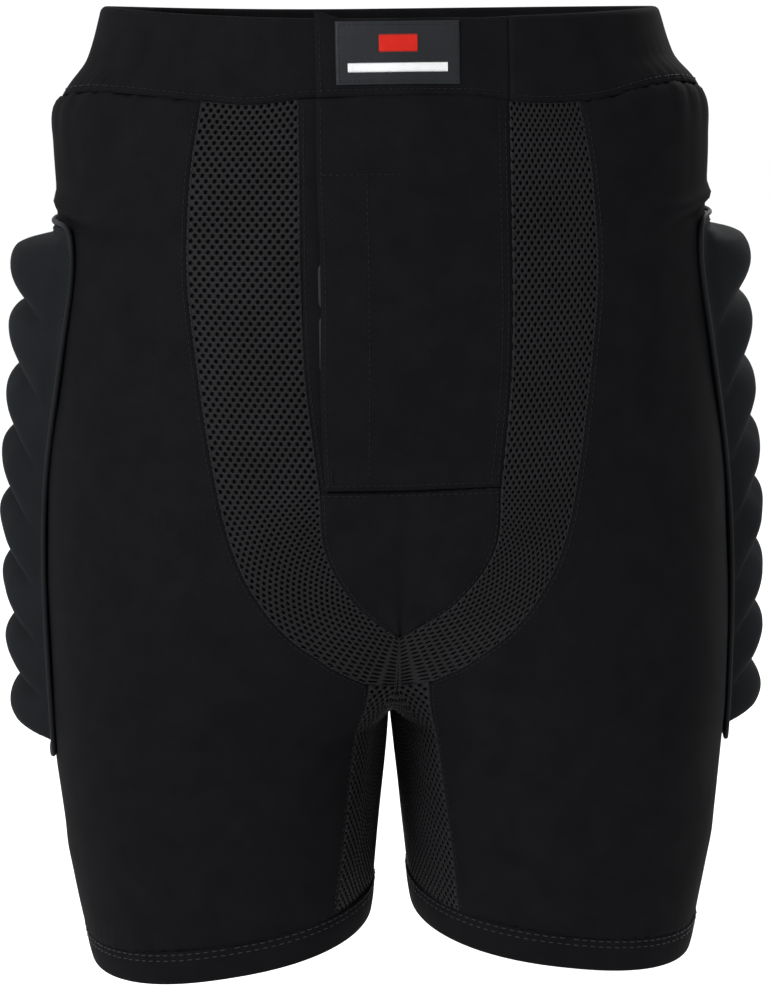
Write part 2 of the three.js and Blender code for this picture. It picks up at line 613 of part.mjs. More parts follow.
// A square-sectioned piping round the pad's edge, just outside it.
function welt(place, across, up) {
  const foot = across.map((u) => [u, 0]);
  const top = across.map((u) => [u, 1]).reverse();
  const back = up.slice(1, -1).map((v) => [1, v]);
  const front = up.slice(1, -1).map((v) => [0, v]).reverse();
  const path = [...foot, ...back, ...top, ...front];
  const low = path.map(([u, v]) => place(u, v, 2 * LAYER_GAP));
  const high = path.map(([u, v]) => place(u, v, 2 * LAYER_GAP + WELT));
  const centre = low.reduce((sum, p) => sum.add(p), new THREE.Vector3()).divideScalar(low.length);
  const loops = low.map((p, i) => {
    const before = low.at(i - 1);
    const after = low[(i + 1) % low.length];
    const normal = high[i].clone().sub(p).normalize();
    const into = p.clone().sub(before).normalize();
    const out = after.clone().sub(p).normalize();
    const away = into.clone().add(out).cross(normal).normalize();
    if (away.dot(p.clone().sub(centre)) < 0) away.negate();
    const mitre = 1 / Math.sqrt((1 + into.dot(out)) / 2);
    const [near, far] = [GAP * mitre, (GAP + WELT) * mitre];
    return [
      p.clone().addScaledVector(away, near),
      p.clone().addScaledVector(away, far),
      high[i].clone().addScaledVector(away, far),
      high[i].clone().addScaledVector(away, near),
    ];
  });
  return sweep(loops, true);
}

// Pads narrow at both ends, so that their corners are cut off.
const cornered = (v) => 1 - 0.22 * Math.pow(Math.abs(2 * v - 1), 8);

function sidePad(side, { drop, length, front, back }) {
  const top = PANEL_TOP - drop;
  const [frontTurn, backTurn] = [evenCurve(front), evenCurve(back)];
  return (u, v, level) => {
    const across = mix(0.5, u, cornered(v));
    const height = mix(top - length, top, v);
    return skin(side, mix(frontTurn(v), backTurn(v), across), height, level);
  };
}
function tailPad({ drop, length, halfAngle }) {
  const top = PANEL_TOP - drop;
  const half = evenCurve(halfAngle);
  return (u, v, level) =>
    trunkSkin(180 + (2 * u - 1) * half(v) * cornered(v), mix(top - length, top, v), level);
}

function addPad(name, pieces) {
  add(`${name}_foam`, PAD_FOAM, pieces.foam);
  add(`${name}_cover`, PAD_JERSEY, pieces.cover);
  add(`${name}_piping`, WELT_CORD, pieces.welt);
}
for (const [suffix, side] of [["left", 1], ["right", -1]]) {
  addPad(`hip_pad_${suffix}`, padPieces(sidePad(side, HIP_PAD), 6, HIP_RIBS, HIP_FOAM));
  addPad(`seat_pad_${suffix}`, padPieces(sidePad(side, SEAT_PAD), 4, SEAT_RIBS, SEAT_FOAM));
}
addPad("tailbone_pad", padPieces(tailPad(TAIL_PAD), 5, TAIL_RIBS, TAIL_FOAM));

export default shorts;
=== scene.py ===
"""Padded impact shorts for snow sports: the visual model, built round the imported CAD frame.

The shell's form follows the frame's, as worn. Each sub-assembly is a class that lays its cloth, mesh, foam
and thread on that form. Inside the classes, lengths are millimetres and heights are above the hem.
A "level" is a distance out from the shell's outer face.
A "turn" is degrees round one leg: 0 front, 90 outside, 180 back.
"""

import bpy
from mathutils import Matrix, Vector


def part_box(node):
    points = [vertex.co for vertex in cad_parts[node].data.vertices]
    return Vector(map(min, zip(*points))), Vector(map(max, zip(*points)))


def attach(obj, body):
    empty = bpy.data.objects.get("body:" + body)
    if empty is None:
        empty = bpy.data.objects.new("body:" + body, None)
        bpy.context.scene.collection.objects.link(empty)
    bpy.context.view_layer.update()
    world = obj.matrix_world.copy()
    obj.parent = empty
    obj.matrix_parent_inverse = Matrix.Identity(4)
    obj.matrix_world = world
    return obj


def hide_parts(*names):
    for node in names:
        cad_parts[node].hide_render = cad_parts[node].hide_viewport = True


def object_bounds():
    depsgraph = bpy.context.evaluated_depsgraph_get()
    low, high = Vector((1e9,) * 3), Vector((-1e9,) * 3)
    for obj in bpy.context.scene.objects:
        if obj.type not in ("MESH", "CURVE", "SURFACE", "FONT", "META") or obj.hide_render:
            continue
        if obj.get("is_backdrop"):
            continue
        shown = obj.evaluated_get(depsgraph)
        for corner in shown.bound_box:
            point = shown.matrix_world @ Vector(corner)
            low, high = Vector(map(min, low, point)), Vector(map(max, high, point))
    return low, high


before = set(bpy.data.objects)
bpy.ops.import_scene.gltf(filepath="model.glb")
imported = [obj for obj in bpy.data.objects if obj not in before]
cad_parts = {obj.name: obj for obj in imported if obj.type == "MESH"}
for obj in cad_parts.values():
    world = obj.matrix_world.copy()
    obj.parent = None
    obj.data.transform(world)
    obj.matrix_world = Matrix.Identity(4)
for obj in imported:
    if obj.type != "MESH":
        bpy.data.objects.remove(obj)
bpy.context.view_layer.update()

import logging
import math
from dataclasses import dataclass, field
from enum import Enum
from typing import Callable, Sequence

import bpy
import numpy as np
from mathutils import Quaternion, Vector

LOG = logging.getLogger("padded_shorts")
MM = 0.001
GAP = 0.1  # mm between pieces that part
OVERLAP = 0.15  # mm that each sewn piece runs into its seam
CLOTH_MAP = "cloth"
MAP_SPAN = 100.0  # mm of cloth to one unit of the map
HINGE_X = 53.0  # mm from the middle to the sewn edge of the flap and the tab
TAPE_X = (-31.0, -13.0)  # mm from the middle to both edges of the closure's tapes
TAPE_INSET = 4.0  # mm from the waistband's edges to the tapes on it
WORN_LONGER = 6.0  # mm that the legs hang below the frame's hems when worn
NAP_RADIUS = 0.13  # mm, of the tapes' hooks and loops, thicker than real ones so that they show

Array = np.ndarray
Place = Callable[[Array, Array, Array], Array]


# ---------------------------------------------------------------- small maths


def mix(a, b, share):
    """A value between a and b."""
    return a + (b - a) * share


def smooth(t: Array) -> Array:
    """Eases 0 to 1."""
    return t * t * (3 - 2 * t)


def length_of(vectors: Array) -> Array:
    """Length of each vector in the last axis."""
    return np.sqrt((vectors * vectors).sum(-1))


def unit(vectors: Array) -> Array:
    """Each vector of the last axis at length 1."""
    return vectors / np.maximum(length_of(vectors), 1e-9)[..., None]


def bell(distance: Array, width: float) -> Array:
    """A smooth hump, 1 in the middle and nearly 0 beyond two widths."""
    return np.exp(-((distance / width) ** 2))


def run_along(path: Array) -> Array:
    """Distance along a line of points, from 0 at its first point."""
    return np.concatenate([[0], np.cumsum(length_of(np.diff(path, axis=0)))])


def share_grid(columns: int, rows: int) -> tuple[Array, Array]:
    """Shares from 0 to 1 across and up, at the points of a grid."""
    return np.meshgrid(np.linspace(0, 1, columns + 1), np.linspace(0, 1, rows + 1), indexing="ij")


def spokes_of(count: int) -> Array:
    """Angles of evenly spaced spokes, in radians."""
    return np.arange(count) / count * 2 * math.pi


class Curve:
    """A smooth curve through stations of (position, value), in rising position."""

    def __init__(self, stations: Sequence[tuple[float, float]]) -> None:
        """Takes the slope at each station from its neighbours.

        Args:
            stations: Pairs of position and value.
        """
        self.at = np.array([s[0] for s in stations], float)
        self.value = np.array([s[1] for s in stations], float)
        index = np.arange(len(self.at))
        before, after = np.maximum(index - 1, 0), np.minimum(index + 1, index[-1])
        self.slope = (self.value[after] - self.value[before]) / (self.at[after] - self.at[before])

    def __call__(self, position: Array) -> Array:
        """The value at each position."""
        p = np.clip(position, self.at[0], self.at[-1])
        i = np.clip(np.searchsorted(self.at, p, side="left") - 1, 0, len(self.at) - 2)
        span = self.at[i + 1] - self.at[i]
        t = (p - self.at[i]) / span
        ease = span * t * (1 - t) * ((1 - t) * self.slope[i] - t * self.slope[i + 1])
        return mix(self.value[i], self.value[i + 1], smooth(t)) + ease


def even_curve(values: Sequence[float]) -> Curve:
    """A curve through evenly spaced values, over 0 to 1."""
    return Curve([(i / (len(values) - 1), value) for i, value in enumerate(values)])


# ---------------------------------------------------------------- the body form


@dataclass
class BodyForm:
    """The filled-out body that the cloth lies on, in millimetres, with the frame's sizes."""

    side_length: float
    waist_half_width: float = 130.5
    waist_front: float = 97
    waist_back: float = 93
    hip_half_width: float = 158  # the frame has 163: the cloth draws in above the pads
    thigh_half_width: float = 169
    hem_half_width: float = 152
    belly_front: float = 116
    seat_back: float = 127
    thigh_front: float = 101
    thigh_back: float = 106
    hem_front: float = 78
    hem_back: float = 86
    inseam: float = 127  # the frame has 118: the worn legs hang 6 mm lower and the crotch sits 3 mm higher
    crotch_bowl: float = 160
    leg_gap: float = 12
    hem_rise: float = 20
    power: float = 2.3
    crease_round: float = 24
    band_height: float = 40
    waist_dip: float = 4
    fly_length: float = 175
    seam_gap: float = -0.2
    turn_up: float = 18
    strip_top_x: float = 14.0  # half width of the inseam strips where they meet the mesh bands

    def __post_init__(self) -> None:
        """Sets the heights of the seams and the curves of width and depth."""
        self.band_foot = self.side_length - self.band_height
        self.panel_top = self.band_foot - self.seam_gap
        self.fly_foot = self.panel_top - self.fly_length
        self.bowl_top = self.inseam + self.crotch_bowl
        self.mesh_low = self.inseam + 26
        self.gusset_top = self.mesh_low + 4
        self.gusset_back_tip = self.gusset_top + 5
        self.panel_low = self.inseam + 54
        self.above_turn_up = self.turn_up - 0.2
        waist, hip, thigh, hem = (
            self.waist_half_width, self.hip_half_width, self.thigh_half_width, self.hem_half_width,
        )
        bowl, band = self.bowl_top, self.band_foot
        self.sway = Curve([
            (-150, 4.5), (-120, 3.5), (-84, 0), (-64, -1.4), (-36, 1.6), (36, 1.4), (66, -2.4), (96, -1.2),
            (122, 4.5), (150, 6.0),
        ])
        self.half_width = Curve([
            (0, hem), (0.5 * self.inseam, mix(hem, thigh, 0.62)), (self.inseam, mix(hem, thigh, 0.92)),
            (mix(self.inseam, bowl, 0.5), thigh), (mix(bowl, band, 0.15), mix(hip, thigh, 0.4)),
            (mix(bowl, band, 0.57), hip - 0.5), (mix(bowl, band, 0.85), hip),
            (band - 6, mix(waist, hip, 0.97)), (band + 5, mix(waist, hip, 0.7)),
            (band + 18, mix(waist, hip, 0.34)), (self.side_length + 10, waist),
        ])
        fly, side = self.fly_foot, self.side_length
        self.front_depth = Curve([
            (0, self.hem_front), (self.inseam, self.thigh_front),
            (mix(self.inseam, fly, 0.55), mix(self.thigh_front, self.belly_front, 0.72)),
            (fly, self.belly_front),
            (mix(fly, side, 0.33), mix(self.belly_front, self.waist_front, 0.31)),
            (mix(fly, side, 0.66), mix(self.belly_front, self.waist_front, 0.63)),
            (side + 10, self.waist_front),
        ])
        self.back_depth = Curve([
            (0, self.hem_back), (self.inseam, self.thigh_back),
            (mix(self.inseam, bowl, 0.6), mix(self.thigh_back, self.seat_back, 0.8)),
            (bowl, self.seat_back), (mix(bowl, side, 0.5), mix(self.seat_back, self.waist_back, 0.4)),
            (side + 10, self.waist_back),
        ])

    def section(self, height: Array) -> dict[str, Array]:
        """The cross-section at each height: one leg tube, cut off at the middle plane above the crotch."""
        width = self.half_width(height)
        front, back = self.front_depth(height), self.back_depth(height)
        joined = np.clip((self.bowl_top - height) / self.crotch_bowl, 0, 1) ** 1.7
        gap = self.leg_gap * np.clip(1 - height / self.inseam, 0, 1)
        leg = height <= self.inseam
        return {
            "width": width,
            "centre_x": np.where(leg, (width + gap) / 2, joined * width / (1 + joined)),
            "radius_x": np.where(leg, (width - gap) / 2, width / (1 + joined)),
            "centre_y": (back - front) / 2,
            "radius_y": (back + front) / 2,
            "round": np.where(leg, 0.0, self.crease_round * (1 - joined)),
        }

    def point(self, turn: Array, height: Array) -> Array:
        """Points on the wearer's left half, by turn and height."""
        turn, height = np.broadcast_arrays(np.asarray(turn, float), np.asarray(height, float))
        s = self.section(height)
        angle = np.radians(turn)
        sine = np.sin(angle)
        x = s["centre_x"] + s["radius_x"] * np.sign(sine) * np.abs(sine) ** (2 / self.power)
        eased = np.sqrt(x * x + s["round"] ** 2 * np.maximum(0, 1 - (x / s["width"]) ** 2))
        along = np.where(s["round"] > 0, eased, x)
        across = np.clip(np.abs(along - s["centre_x"]) / s["radius_x"], 0, 1)
        deep = np.maximum(1 - across**self.power, 0) ** (1 / self.power)
        y = s["centre_y"] - np.sign(np.cos(angle)) * s["radius_y"] * deep
        return np.stack([x, y, height], -1)

    def normal(self, turn: Array, height: Array) -> Array:
        """The outward direction at each place."""
        around = self.point(turn + 0.5, height) - self.point(turn - 0.5, height)
        up = self.point(turn, height + 1) - self.point(turn, height - 1)
        return unit(np.cross(around, up))

    def _lifted(self, turn: Array, height: Array, level: Array) -> Array:
        """Points at a level above the form, on the wearer's left half."""
        turn, height, level = np.broadcast_arrays(turn, height, level)
        return self.point(turn, height) + self.normal(turn, height) * level[..., None]

    def _swayed(self, p: Array) -> Array:
        """Points moved with the band's seam, which sways up and down across the front."""
        front = np.clip(-p[..., 1] / 50, 0, 1)
        p[..., 2] += self.sway(p[..., 0]) * front * bell(p[..., 2] - self.band_foot, 15)
        return p

    def skin(self, side: int, turn: Array, height: Array, level: Array) -> Array:
        """Points on one side, 1 for the wearer's left and -1 for the right, kept off the middle plane."""
        p = self._lifted(turn, height, level)
        p[..., 0] = side * np.maximum(p[..., 0], -OVERLAP)
        return self._swayed(p)

    def turn_at(self, x: Array, height: Array) -> Array:
        """The turn at which the form is x from the middle plane, at the front."""
        s = self.section(height)
        share = np.clip((x - s["centre_x"]) / s["radius_x"], -1, 1)
        return np.degrees(np.sign(share) * np.arcsin(np.abs(share) ** (self.power / 2)))

    def front_skin(self, x: Array, height: Array, level: Array) -> Array:
        """Points on the front by their x, across the middle plane."""
        x, height, level = np.broadcast_arrays(x, height, level)
        p = self._lifted(self.turn_at(np.abs(x), height), height, level)
        p[..., 0] = np.where(x < 0, -p[..., 0], p[..., 0])
        return self._swayed(p)

    def trunk_skin(self, angle: Array, height: Array, level: Array) -> Array:
        """Points by the angle round the trunk: 0 front, 90 the wearer's left, 180 back."""
        turn = np.degrees(np.arccos(np.clip(np.cos(np.radians(angle)), -1, 1)))
        p = self._lifted(turn, height, level)
        flip = np.broadcast_to(np.sin(np.radians(angle)) < 0, p.shape[:-1])
        p[..., 0] = np.where(flip, -p[..., 0], p[..., 0])
        return p

    def hem_edge(self, x: Array) -> Array:
        """Height of the hem line, which is higher on the inside of the leg."""
        return self.hem_rise * (self.hem_half_width - np.abs(x)) / (self.hem_half_width - self.leg_gap)

    def foot_line(self, turn_of: Callable[[Array], Array], above: float) -> Array:
        """Heights of a line that runs parallel to the hem.

        Args:
            turn_of: Gives the turns of the line's points for their heights.
            above: Distance above the hem line.

        Returns:
            The height of each of the line's points.
        """
        height = np.full_like(turn_of(np.asarray(above, float)), above)
        for _ in range(5):
            height = above + self.hem_edge(self.point(turn_of(height), height)[..., 0])
        return height

    def over_hem(self, side: int, turn: Array, above: Array, level: Array) -> Array:
        """Points on lines parallel to the hem, at a distance above it."""
        turn, above, level = np.broadcast_arrays(turn, above, level)
        p = self.point(turn, above)
        for _ in range(3):
            p = self.skin(side, turn, above + self.hem_edge(p[..., 0]), level)
        p[..., 2] = above + self.hem_edge(p[..., 0])
        return p

    def band_point(self, angle: Array, from_top: Array, level: Array) -> Array:
        """Points of the waistband by the angle round it and the distance down from its edge."""
        p = self.trunk_skin(angle, self.side_length - from_top, level)
        return self.to_band(p, from_top)

    def to_band(self, p: Array, from_top: Array) -> Array:
        """Points at a distance down from the waist edge, which dips in front and rides up on the right."""
        dip = self.waist_dip * np.clip(-p[..., 1] / self.waist_front, 0, 1) ** 2
        dip = dip - 3.0 * np.clip(-p[..., 0] / self.waist_half_width, 0, 1) ** 2
        p[..., 2] = mix(self.side_length - dip, self.band_foot, from_top / self.band_height)
        return self._swayed(p)

    def gusset_turn(self, height: Array) -> Array:
        """Turn of the front edge of the inseam strip. Its back edge is at 180 less this."""
        crotch = self.turn_at(19.0, np.asarray(self.inseam, float))
        top = self.turn_at(self.strip_top_x, np.asarray(self.gusset_top, float))
        low = mix(-41.0, crotch, np.clip(height / self.inseam, 0, 1))
        share = np.clip((height - self.inseam) / (self.gusset_top - self.inseam), 0, 1)
        return np.where(height <= self.inseam, low, mix(crotch, top, share))


@dataclass
class SeamPlan:
    """Where the seams of the front run, as x from the middle plane by height."""

    form: BodyForm

    def __post_init__(self) -> None:
        """Draws the outer edge of the mesh bands and the inner edges on both sides of the fly."""
        f = self.form
        self.mesh_outer = Curve([
            (f.gusset_top, f.strip_top_x), (mix(f.gusset_top, f.fly_foot, 0.12), 32),
            (mix(f.gusset_top, f.fly_foot, 0.33), 55.6), (mix(f.gusset_top, f.fly_foot, 0.62), 73),
            (f.fly_foot, 83), (mix(f.fly_foot, f.panel_top, 0.5), 94),
            (mix(f.fly_foot, f.panel_top, 0.78), 92.4), (f.panel_top, 86),
        ])
        self.fly_seam = self._inner(47, 53)
        self.underlap_seam = self._inner(36, 42)

    def _inner(self, foot: float, top: float) -> Curve:
        """One inner edge, which closes to the middle below the fly."""
        f = self.form
        low, fly = f.panel_low, f.fly_foot
        return Curve([
            (low, GAP), (mix(low, fly, 0.25), 0.55 * foot), (mix(low, fly, 0.6), 0.93 * foot),
            (fly, foot), (mix(fly, f.panel_top, 0.35), top), (f.panel_top, top),
        ])

    def inner_height(self, height: Array) -> Array:
        """The height on a band's inner edge that faces one on its outer edge."""
        f = self.form
        below = mix(f.fly_foot, f.panel_low, (f.fly_foot - height) / (f.fly_foot - f.mesh_low))
        return np.where(height >= f.fly_foot, height, below)


# ---------------------------------------------------------------- folds and ripples of cloth

MM_PER_DEGREE = 2.0  # cloth to one degree of turn on the thigh, near enough for folds
PAD_ZONES = (  # lowest and highest turn and height of the cloth under the hip, seat and tailbone pads
    (57, 128, 96, 368), (131, 168, 176, 326), (159, 360, 258, 398),
)
UNDER_PAD = 0.35  # mm that the cloth may stand off under a pad


@dataclass(frozen=True)
class Fold:
    """A ridge of cloth between two places, each (turn, height). A negative rise makes a valley."""

    start: tuple[float, float]
    end: tuple[float, float]
    width: float
    rise: float

    def level(self, turn: Array, height: Array) -> Array:
        """How far the fold lifts the cloth at each place."""
        a = np.array([self.start[0] * MM_PER_DEGREE, self.start[1]])
        b = np.array([self.end[0] * MM_PER_DEGREE, self.end[1]])
        along = (b - a) / length_of(b - a)
        offset = np.stack([turn * MM_PER_DEGREE - a[0], height - a[1]], -1)
        share = (offset @ along) / length_of(b - a)
        away = offset @ np.array([-along[1], along[0]])
        ends = np.clip(1 - np.abs(2 * share - 1) ** 3, 0, 1)
        return self.rise * ends * bell(away, self.width)


@dataclass
class Drape:
    """All the soft unevenness of the shell: a slow ripple and the folds on each side."""

    seed: int = 11
    waves: int = 7
    swell: float = 0.42

    def __post_init__(self) -> None:
        """Draws the ripple's waves and lists the folds of the wearer's right and left sides."""
        rng = np.random.default_rng(self.seed)
        direction = unit(rng.normal(size=(self.waves, 3)))
        self.wave = direction / rng.uniform(34, 90, (self.waves, 1)) * 2 * math.pi
        self.phase = rng.uniform(0, 2 * math.pi, self.waves)
        shared = [
            Fold((-24, 172), (6, 150), 5, 0.9), Fold((-20, 186), (14, 176), 5, 0.7),
            Fold((20, 128), (54, 96), 7, 0.7), Fold((8, 100), (44, 66), 8, 0.6),
            Fold((132, 172), (168, 150), 6, 1.0), Fold((128, 150), (160, 118), 7, 0.8),
            Fold((130, 92), (104, 70), 8, 0.7), Fold((150, 64), (112, 44), 8, 0.6),
            Fold((62, 64), (118, 54), 9, 0.5), Fold((140, 372), (120, 392), 6, 0.8),
        ]
        self.folds = {
            -1: shared + [
                Fold((92, 381), (34, 368), 3.4, 3.2), Fold((84, 374), (38, 361), 3.2, -2.4),
                Fold((60, 380), (34, 368), 5, 0.5), Fold((30, 404), (52, 412), 4, 0.6),
            ],
            1: shared + [
                Fold((90, 381), (46, 373), 3.4, 3.0), Fold((84, 374), (50, 365), 3.2, -2.2),
                Fold((62, 390), (36, 402), 5, 0.7), Fold((36, 316), (52, 300), 8, 0.5),
            ],
        }

    def ripple(self, points: Array) -> Array:
        """A slow unevenness from place to place."""
        return self.swell * np.sin(points @ self.wave.T + self.phase).sum(-1) / math.sqrt(self.waves)

    def level(self, side: int, turn: Array, height: Array, points: Array) -> Array:
        """How far the cloth stands off the form, kept low where a pad lies on it."""
        total = self.ripple(points)
        for fold in self.folds[side]:
            total = total + fold.level(turn, height)
        under = np.zeros(total.shape, bool)
        for first, last, low, high in PAD_ZONES:
            under |= (turn > first) & (turn < last) & (height > low) & (height < high)
        return np.where(under, np.minimum(total, UNDER_PAD), total)


# ---------------------------------------------------------------- meshes


class Shape:
    """Points and faces that are gathered into one mesh object. Lengths are millimetres."""

    def __init__(self) -> None:
        """Starts with no faces."""
        self.points: list[Array] = []
        self.maps: list[Array] = []
        self.faces: list[Array] = []
        self.count = 0

    def add(self, points: Array, chart: Array | None, faces: Sequence[Array]) -> "Shape":
        """Adds a closed body, with its faces turned outwards.

        Args:
            points: Its points, in any shape that ends in 3.
            chart: The cloth map's place of each point in mm, or None.
            faces: Arrays of faces, one row of point numbers to a face.

        Returns:
            This shape.
        """
        flat = points.reshape(-1, 3)
        volume = 0.0
        for block in faces:
            a = flat[block[:, 0]]
            for k in range(1, block.shape[1] - 1):
                volume += float((a * np.cross(flat[block[:, k]], flat[block[:, k + 1]])).sum())
        self.faces += [(block if volume > 0 else block[:, ::-1]) + self.count for block in faces]
        self.points.append(flat)
        self.maps.append(flat[:, :2] if chart is None else chart.reshape(-1, 2))
        self.count += len(flat)
        return self

    def add_layers(self, outer: Array, inner: Array, chart: Array) -> "Shape":
        """Adds the closed solid between two matching grids of points, which share one cloth map."""
        points = np.concatenate([outer.reshape(-1, 3), inner.reshape(-1, 3)])
        return self.add(points, np.concatenate([chart.reshape(-1, 2)] * 2), slab(outer, inner))

    def add_threads(
        self, centre: Array, side: Array, up: Array, wide: Array | float, chart: Array, spokes: int,
    ) -> None:
        """Adds many short threads with flat ends, each through a row of round sections.

        Args:
            centre: The middle of each section, [thread][section].
            side: One direction across each section.
            up: The other direction across it.
            wide: The sections' radii.
            chart: The cloth map's place of each point, or of each thread.
            spokes: Points round a section.
        """
        angle = spokes_of(spokes)[:, None]
        spoke = side[:, :, None] * np.cos(angle) + up[:, :, None] * np.sin(angle)
        rings = centre[:, :, None] + wide * spoke
        k = np.arange(rings.size // 3).reshape(rings.shape[:3])
        turned = np.roll(k, -1, axis=2)
        body = quads(k[:, :-1], k[:, 1:], turned[:, 1:], turned[:, :-1])
        self.add(rings, np.broadcast_to(chart, (*rings.shape[:3], 2)), [body, k[:, 0], k[:, -1, ::-1]])

    def object(self, name: str, material: bpy.types.Material, origin: float) -> bpy.types.Object:
        """Makes the Blender object, in metres in the frame.

        Args:
            name: The piece's name.
            material: Its finish.
            origin: The height in mm that is the frame's zero.

        Returns:
            The new object, with smooth faces and the cloth map.
        """
        points = np.concatenate(self.points) - np.array([0, 0, origin])
        corners = np.concatenate([block.reshape(-1) for block in self.faces])
        sizes = np.concatenate([np.full(len(block), block.shape[1]) for block in self.faces])
        mesh = bpy.data.meshes.new(name)
        mesh.vertices.add(len(points))
        mesh.vertices.foreach_set("co", (points * MM).astype(np.float32).ravel())
        mesh.loops.add(len(corners))
        mesh.loops.foreach_set("vertex_index", corners.astype(np.int32))
        mesh.polygons.add(len(sizes))
        starts = np.concatenate([[0], np.cumsum(sizes)[:-1]])
        mesh.polygons.foreach_set("loop_start", starts.astype(np.int32))
        mesh.update(calc_edges=True)
        mesh.polygons.foreach_set("use_smooth", np.ones(len(sizes), bool))
        chart = mesh.uv_layers.new(name=CLOTH_MAP)
        places = np.concatenate(self.maps)[corners] / MAP_SPAN
        chart.uv.foreach_set("vector", places.astype(np.float32).ravel())
        mesh.materials.append(material)
        made = bpy.data.objects.new(name, mesh)
        bpy.context.scene.collection.objects.link(made)
        return made


def quads(a: Array, b: Array, c: Array, d: Array) -> Array:
    """Faces from four arrays of point numbers."""
    return np.stack([a.ravel(), b.ravel(), c.ravel(), d.ravel()], -1)


class Edge(Enum):
    """One edge of a sheet: START and END across it, FOOT and TOP along it."""

    START = "start"
    END = "end"
    FOOT = "foot"
    TOP = "top"


class Surface:
    """The outer face of a sheet as a grid of points, [column][row], with distances to its edges."""

    def __init__(self, points: Array, outward: Array) -> None:
        """Measures the grid.

        Args:
            points: The grid's points.
            outward: A rough outward direction at each point.
        """
        self.points = points
        across, along = np.gradient(points, axis=0), np.gradient(points, axis=1)
        normal = unit(np.cross(across, along))
        self.normal = normal * np.sign((normal * outward).sum(-1).mean())
        steps = length_of(np.diff(points, axis=0))
        zero = np.zeros((1, points.shape[1]))
        from_start = np.concatenate([zero, np.cumsum(steps, 0)])
        rises = length_of(np.diff(points, axis=1))
        zero = np.zeros((points.shape[0], 1))
        from_foot = np.concatenate([zero, np.cumsum(rises, 1)], 1)
        self.distance = {
            Edge.START: from_start, Edge.END: from_start[-1:] - from_start,
            Edge.FOOT: from_foot, Edge.TOP: from_foot[:, -1:] - from_foot,
        }

    def chart(self) -> Array:
        """The cloth map: mm across from the middle and mm up."""
        start = self.distance[Edge.START]
        return np.stack([start - start[-1:] / 2, self.distance[Edge.FOOT]], -1)

    def flat_size(self) -> tuple[tuple[float, float], float]:
        """The cut cloth's width and length, and its area, in metres."""
        widths, lengths = self.distance[Edge.START][-1], self.distance[Edge.FOOT][:, -1]
        cell = length_of(np.cross(
            self.points[1:, :-1] - self.points[:-1, :-1], self.points[:-1, 1:] - self.points[:-1, :-1],
        ))
        return (float(widths.max()) * MM, float(lengths.max()) * MM), float(cell.sum()) * MM * MM

    def sample(self, column: Array, row: Array) -> tuple[Array, Array]:
        """Points and normals between the grid's points, by fractions of a column and a row."""
        c = np.clip(column, 0, self.points.shape[0] - 1.001)
        r = np.clip(row, 0, self.points.shape[1] - 1.001)
        i, j = c.astype(int), r.astype(int)
        s, t = (c - i)[..., None], (r - j)[..., None]
        found = []
        for grid in (self.points, self.normal):
            low = mix(grid[i, j], grid[i + 1, j], s)
            found.append(mix(low, mix(grid[i, j + 1], grid[i + 1, j + 1], s), t))
        return found[0], unit(found[1])

    def beside(self, edge: Edge, inset: float, begin: float = 0.0, end: float = 1.0) -> tuple[Array, Array]:
        """A line at a fixed distance from one edge.

        Args:
            edge: The edge that it follows.
            inset: Its distance from the edge, in mm.
            begin: Where it starts, as a share of the edge.
            end: Where it stops.

        Returns:
            Its points and the surface's normals there.
        """
        upright = edge in (Edge.START, Edge.END)
        gaps = self.distance[edge].T if upright else self.distance[edge]
        steps = np.arange(gaps.shape[1])
        if edge in (Edge.END, Edge.TOP):
            gaps, steps = gaps[:, ::-1], steps[::-1]
        found = np.array([np.interp(inset, gap, steps) for gap in gaps])
        at = np.arange(len(gaps), dtype=float)
        points, normals = self.sample(found, at) if upright else self.sample(at, found)
        first = int(begin * len(at))
        part = slice(first, max(int(end * len(at)), first + 2))
        return points[part], normals[part]


def rim_of(k: Array) -> tuple[Array, Array]:
    """Point numbers round the edge of a grid, and the one that comes after each."""
    rim = np.concatenate([k[:, 0], k[-1, 1:], k[-2::-1, -1], k[0, -2:0:-1]])
    return rim, np.roll(rim, -1)


def slab(outer: Array, inner: Array) -> list[Array]:
    """Faces of a closed solid between two matching grids of points, outer first."""
    columns, rows = outer.shape[:2]
    size = columns * rows
    k = np.arange(size).reshape(columns, rows)
    face = quads(k[:-1, :-1], k[1:, :-1], k[1:, 1:], k[:-1, 1:])
    rim, after = rim_of(k)
    return [face, face[:, ::-1] + size, quads(after, rim, rim + size, after + size)]


def sweep(loops: Array, ring: bool) -> list[Array]:
    """Faces of a closed solid through matching loops: a ring, or a bar with flat ends."""
    count, around = loops.shape[:2]
    k = np.arange(count * around).reshape(count, around)
    turned = np.roll(k, -1, axis=1)
    if ring:
        ahead, ahead_turned = np.roll(k, -1, axis=0), np.roll(turned, -1, axis=0)
        return [quads(k, ahead, ahead_turned, turned)]
    body = quads(k[:-1], k[1:], turned[1:], turned[:-1])
    return [body, k[:1], k[-1:, ::-1]]


def tube_loops(path: Array, normals: Array, radius: float, sides: int) -> Array:
    """Round sections along a closed path."""
    tangent = unit(np.roll(path, -1, 0) - np.roll(path, 1, 0))
    side = unit(np.cross(normals, tangent))
    up = unit(np.cross(tangent, side))
    angle = spokes_of(sides)[:, None]
    return path[:, None] + radius * (side[:, None] * np.cos(angle) + up[:, None] * np.sin(angle))


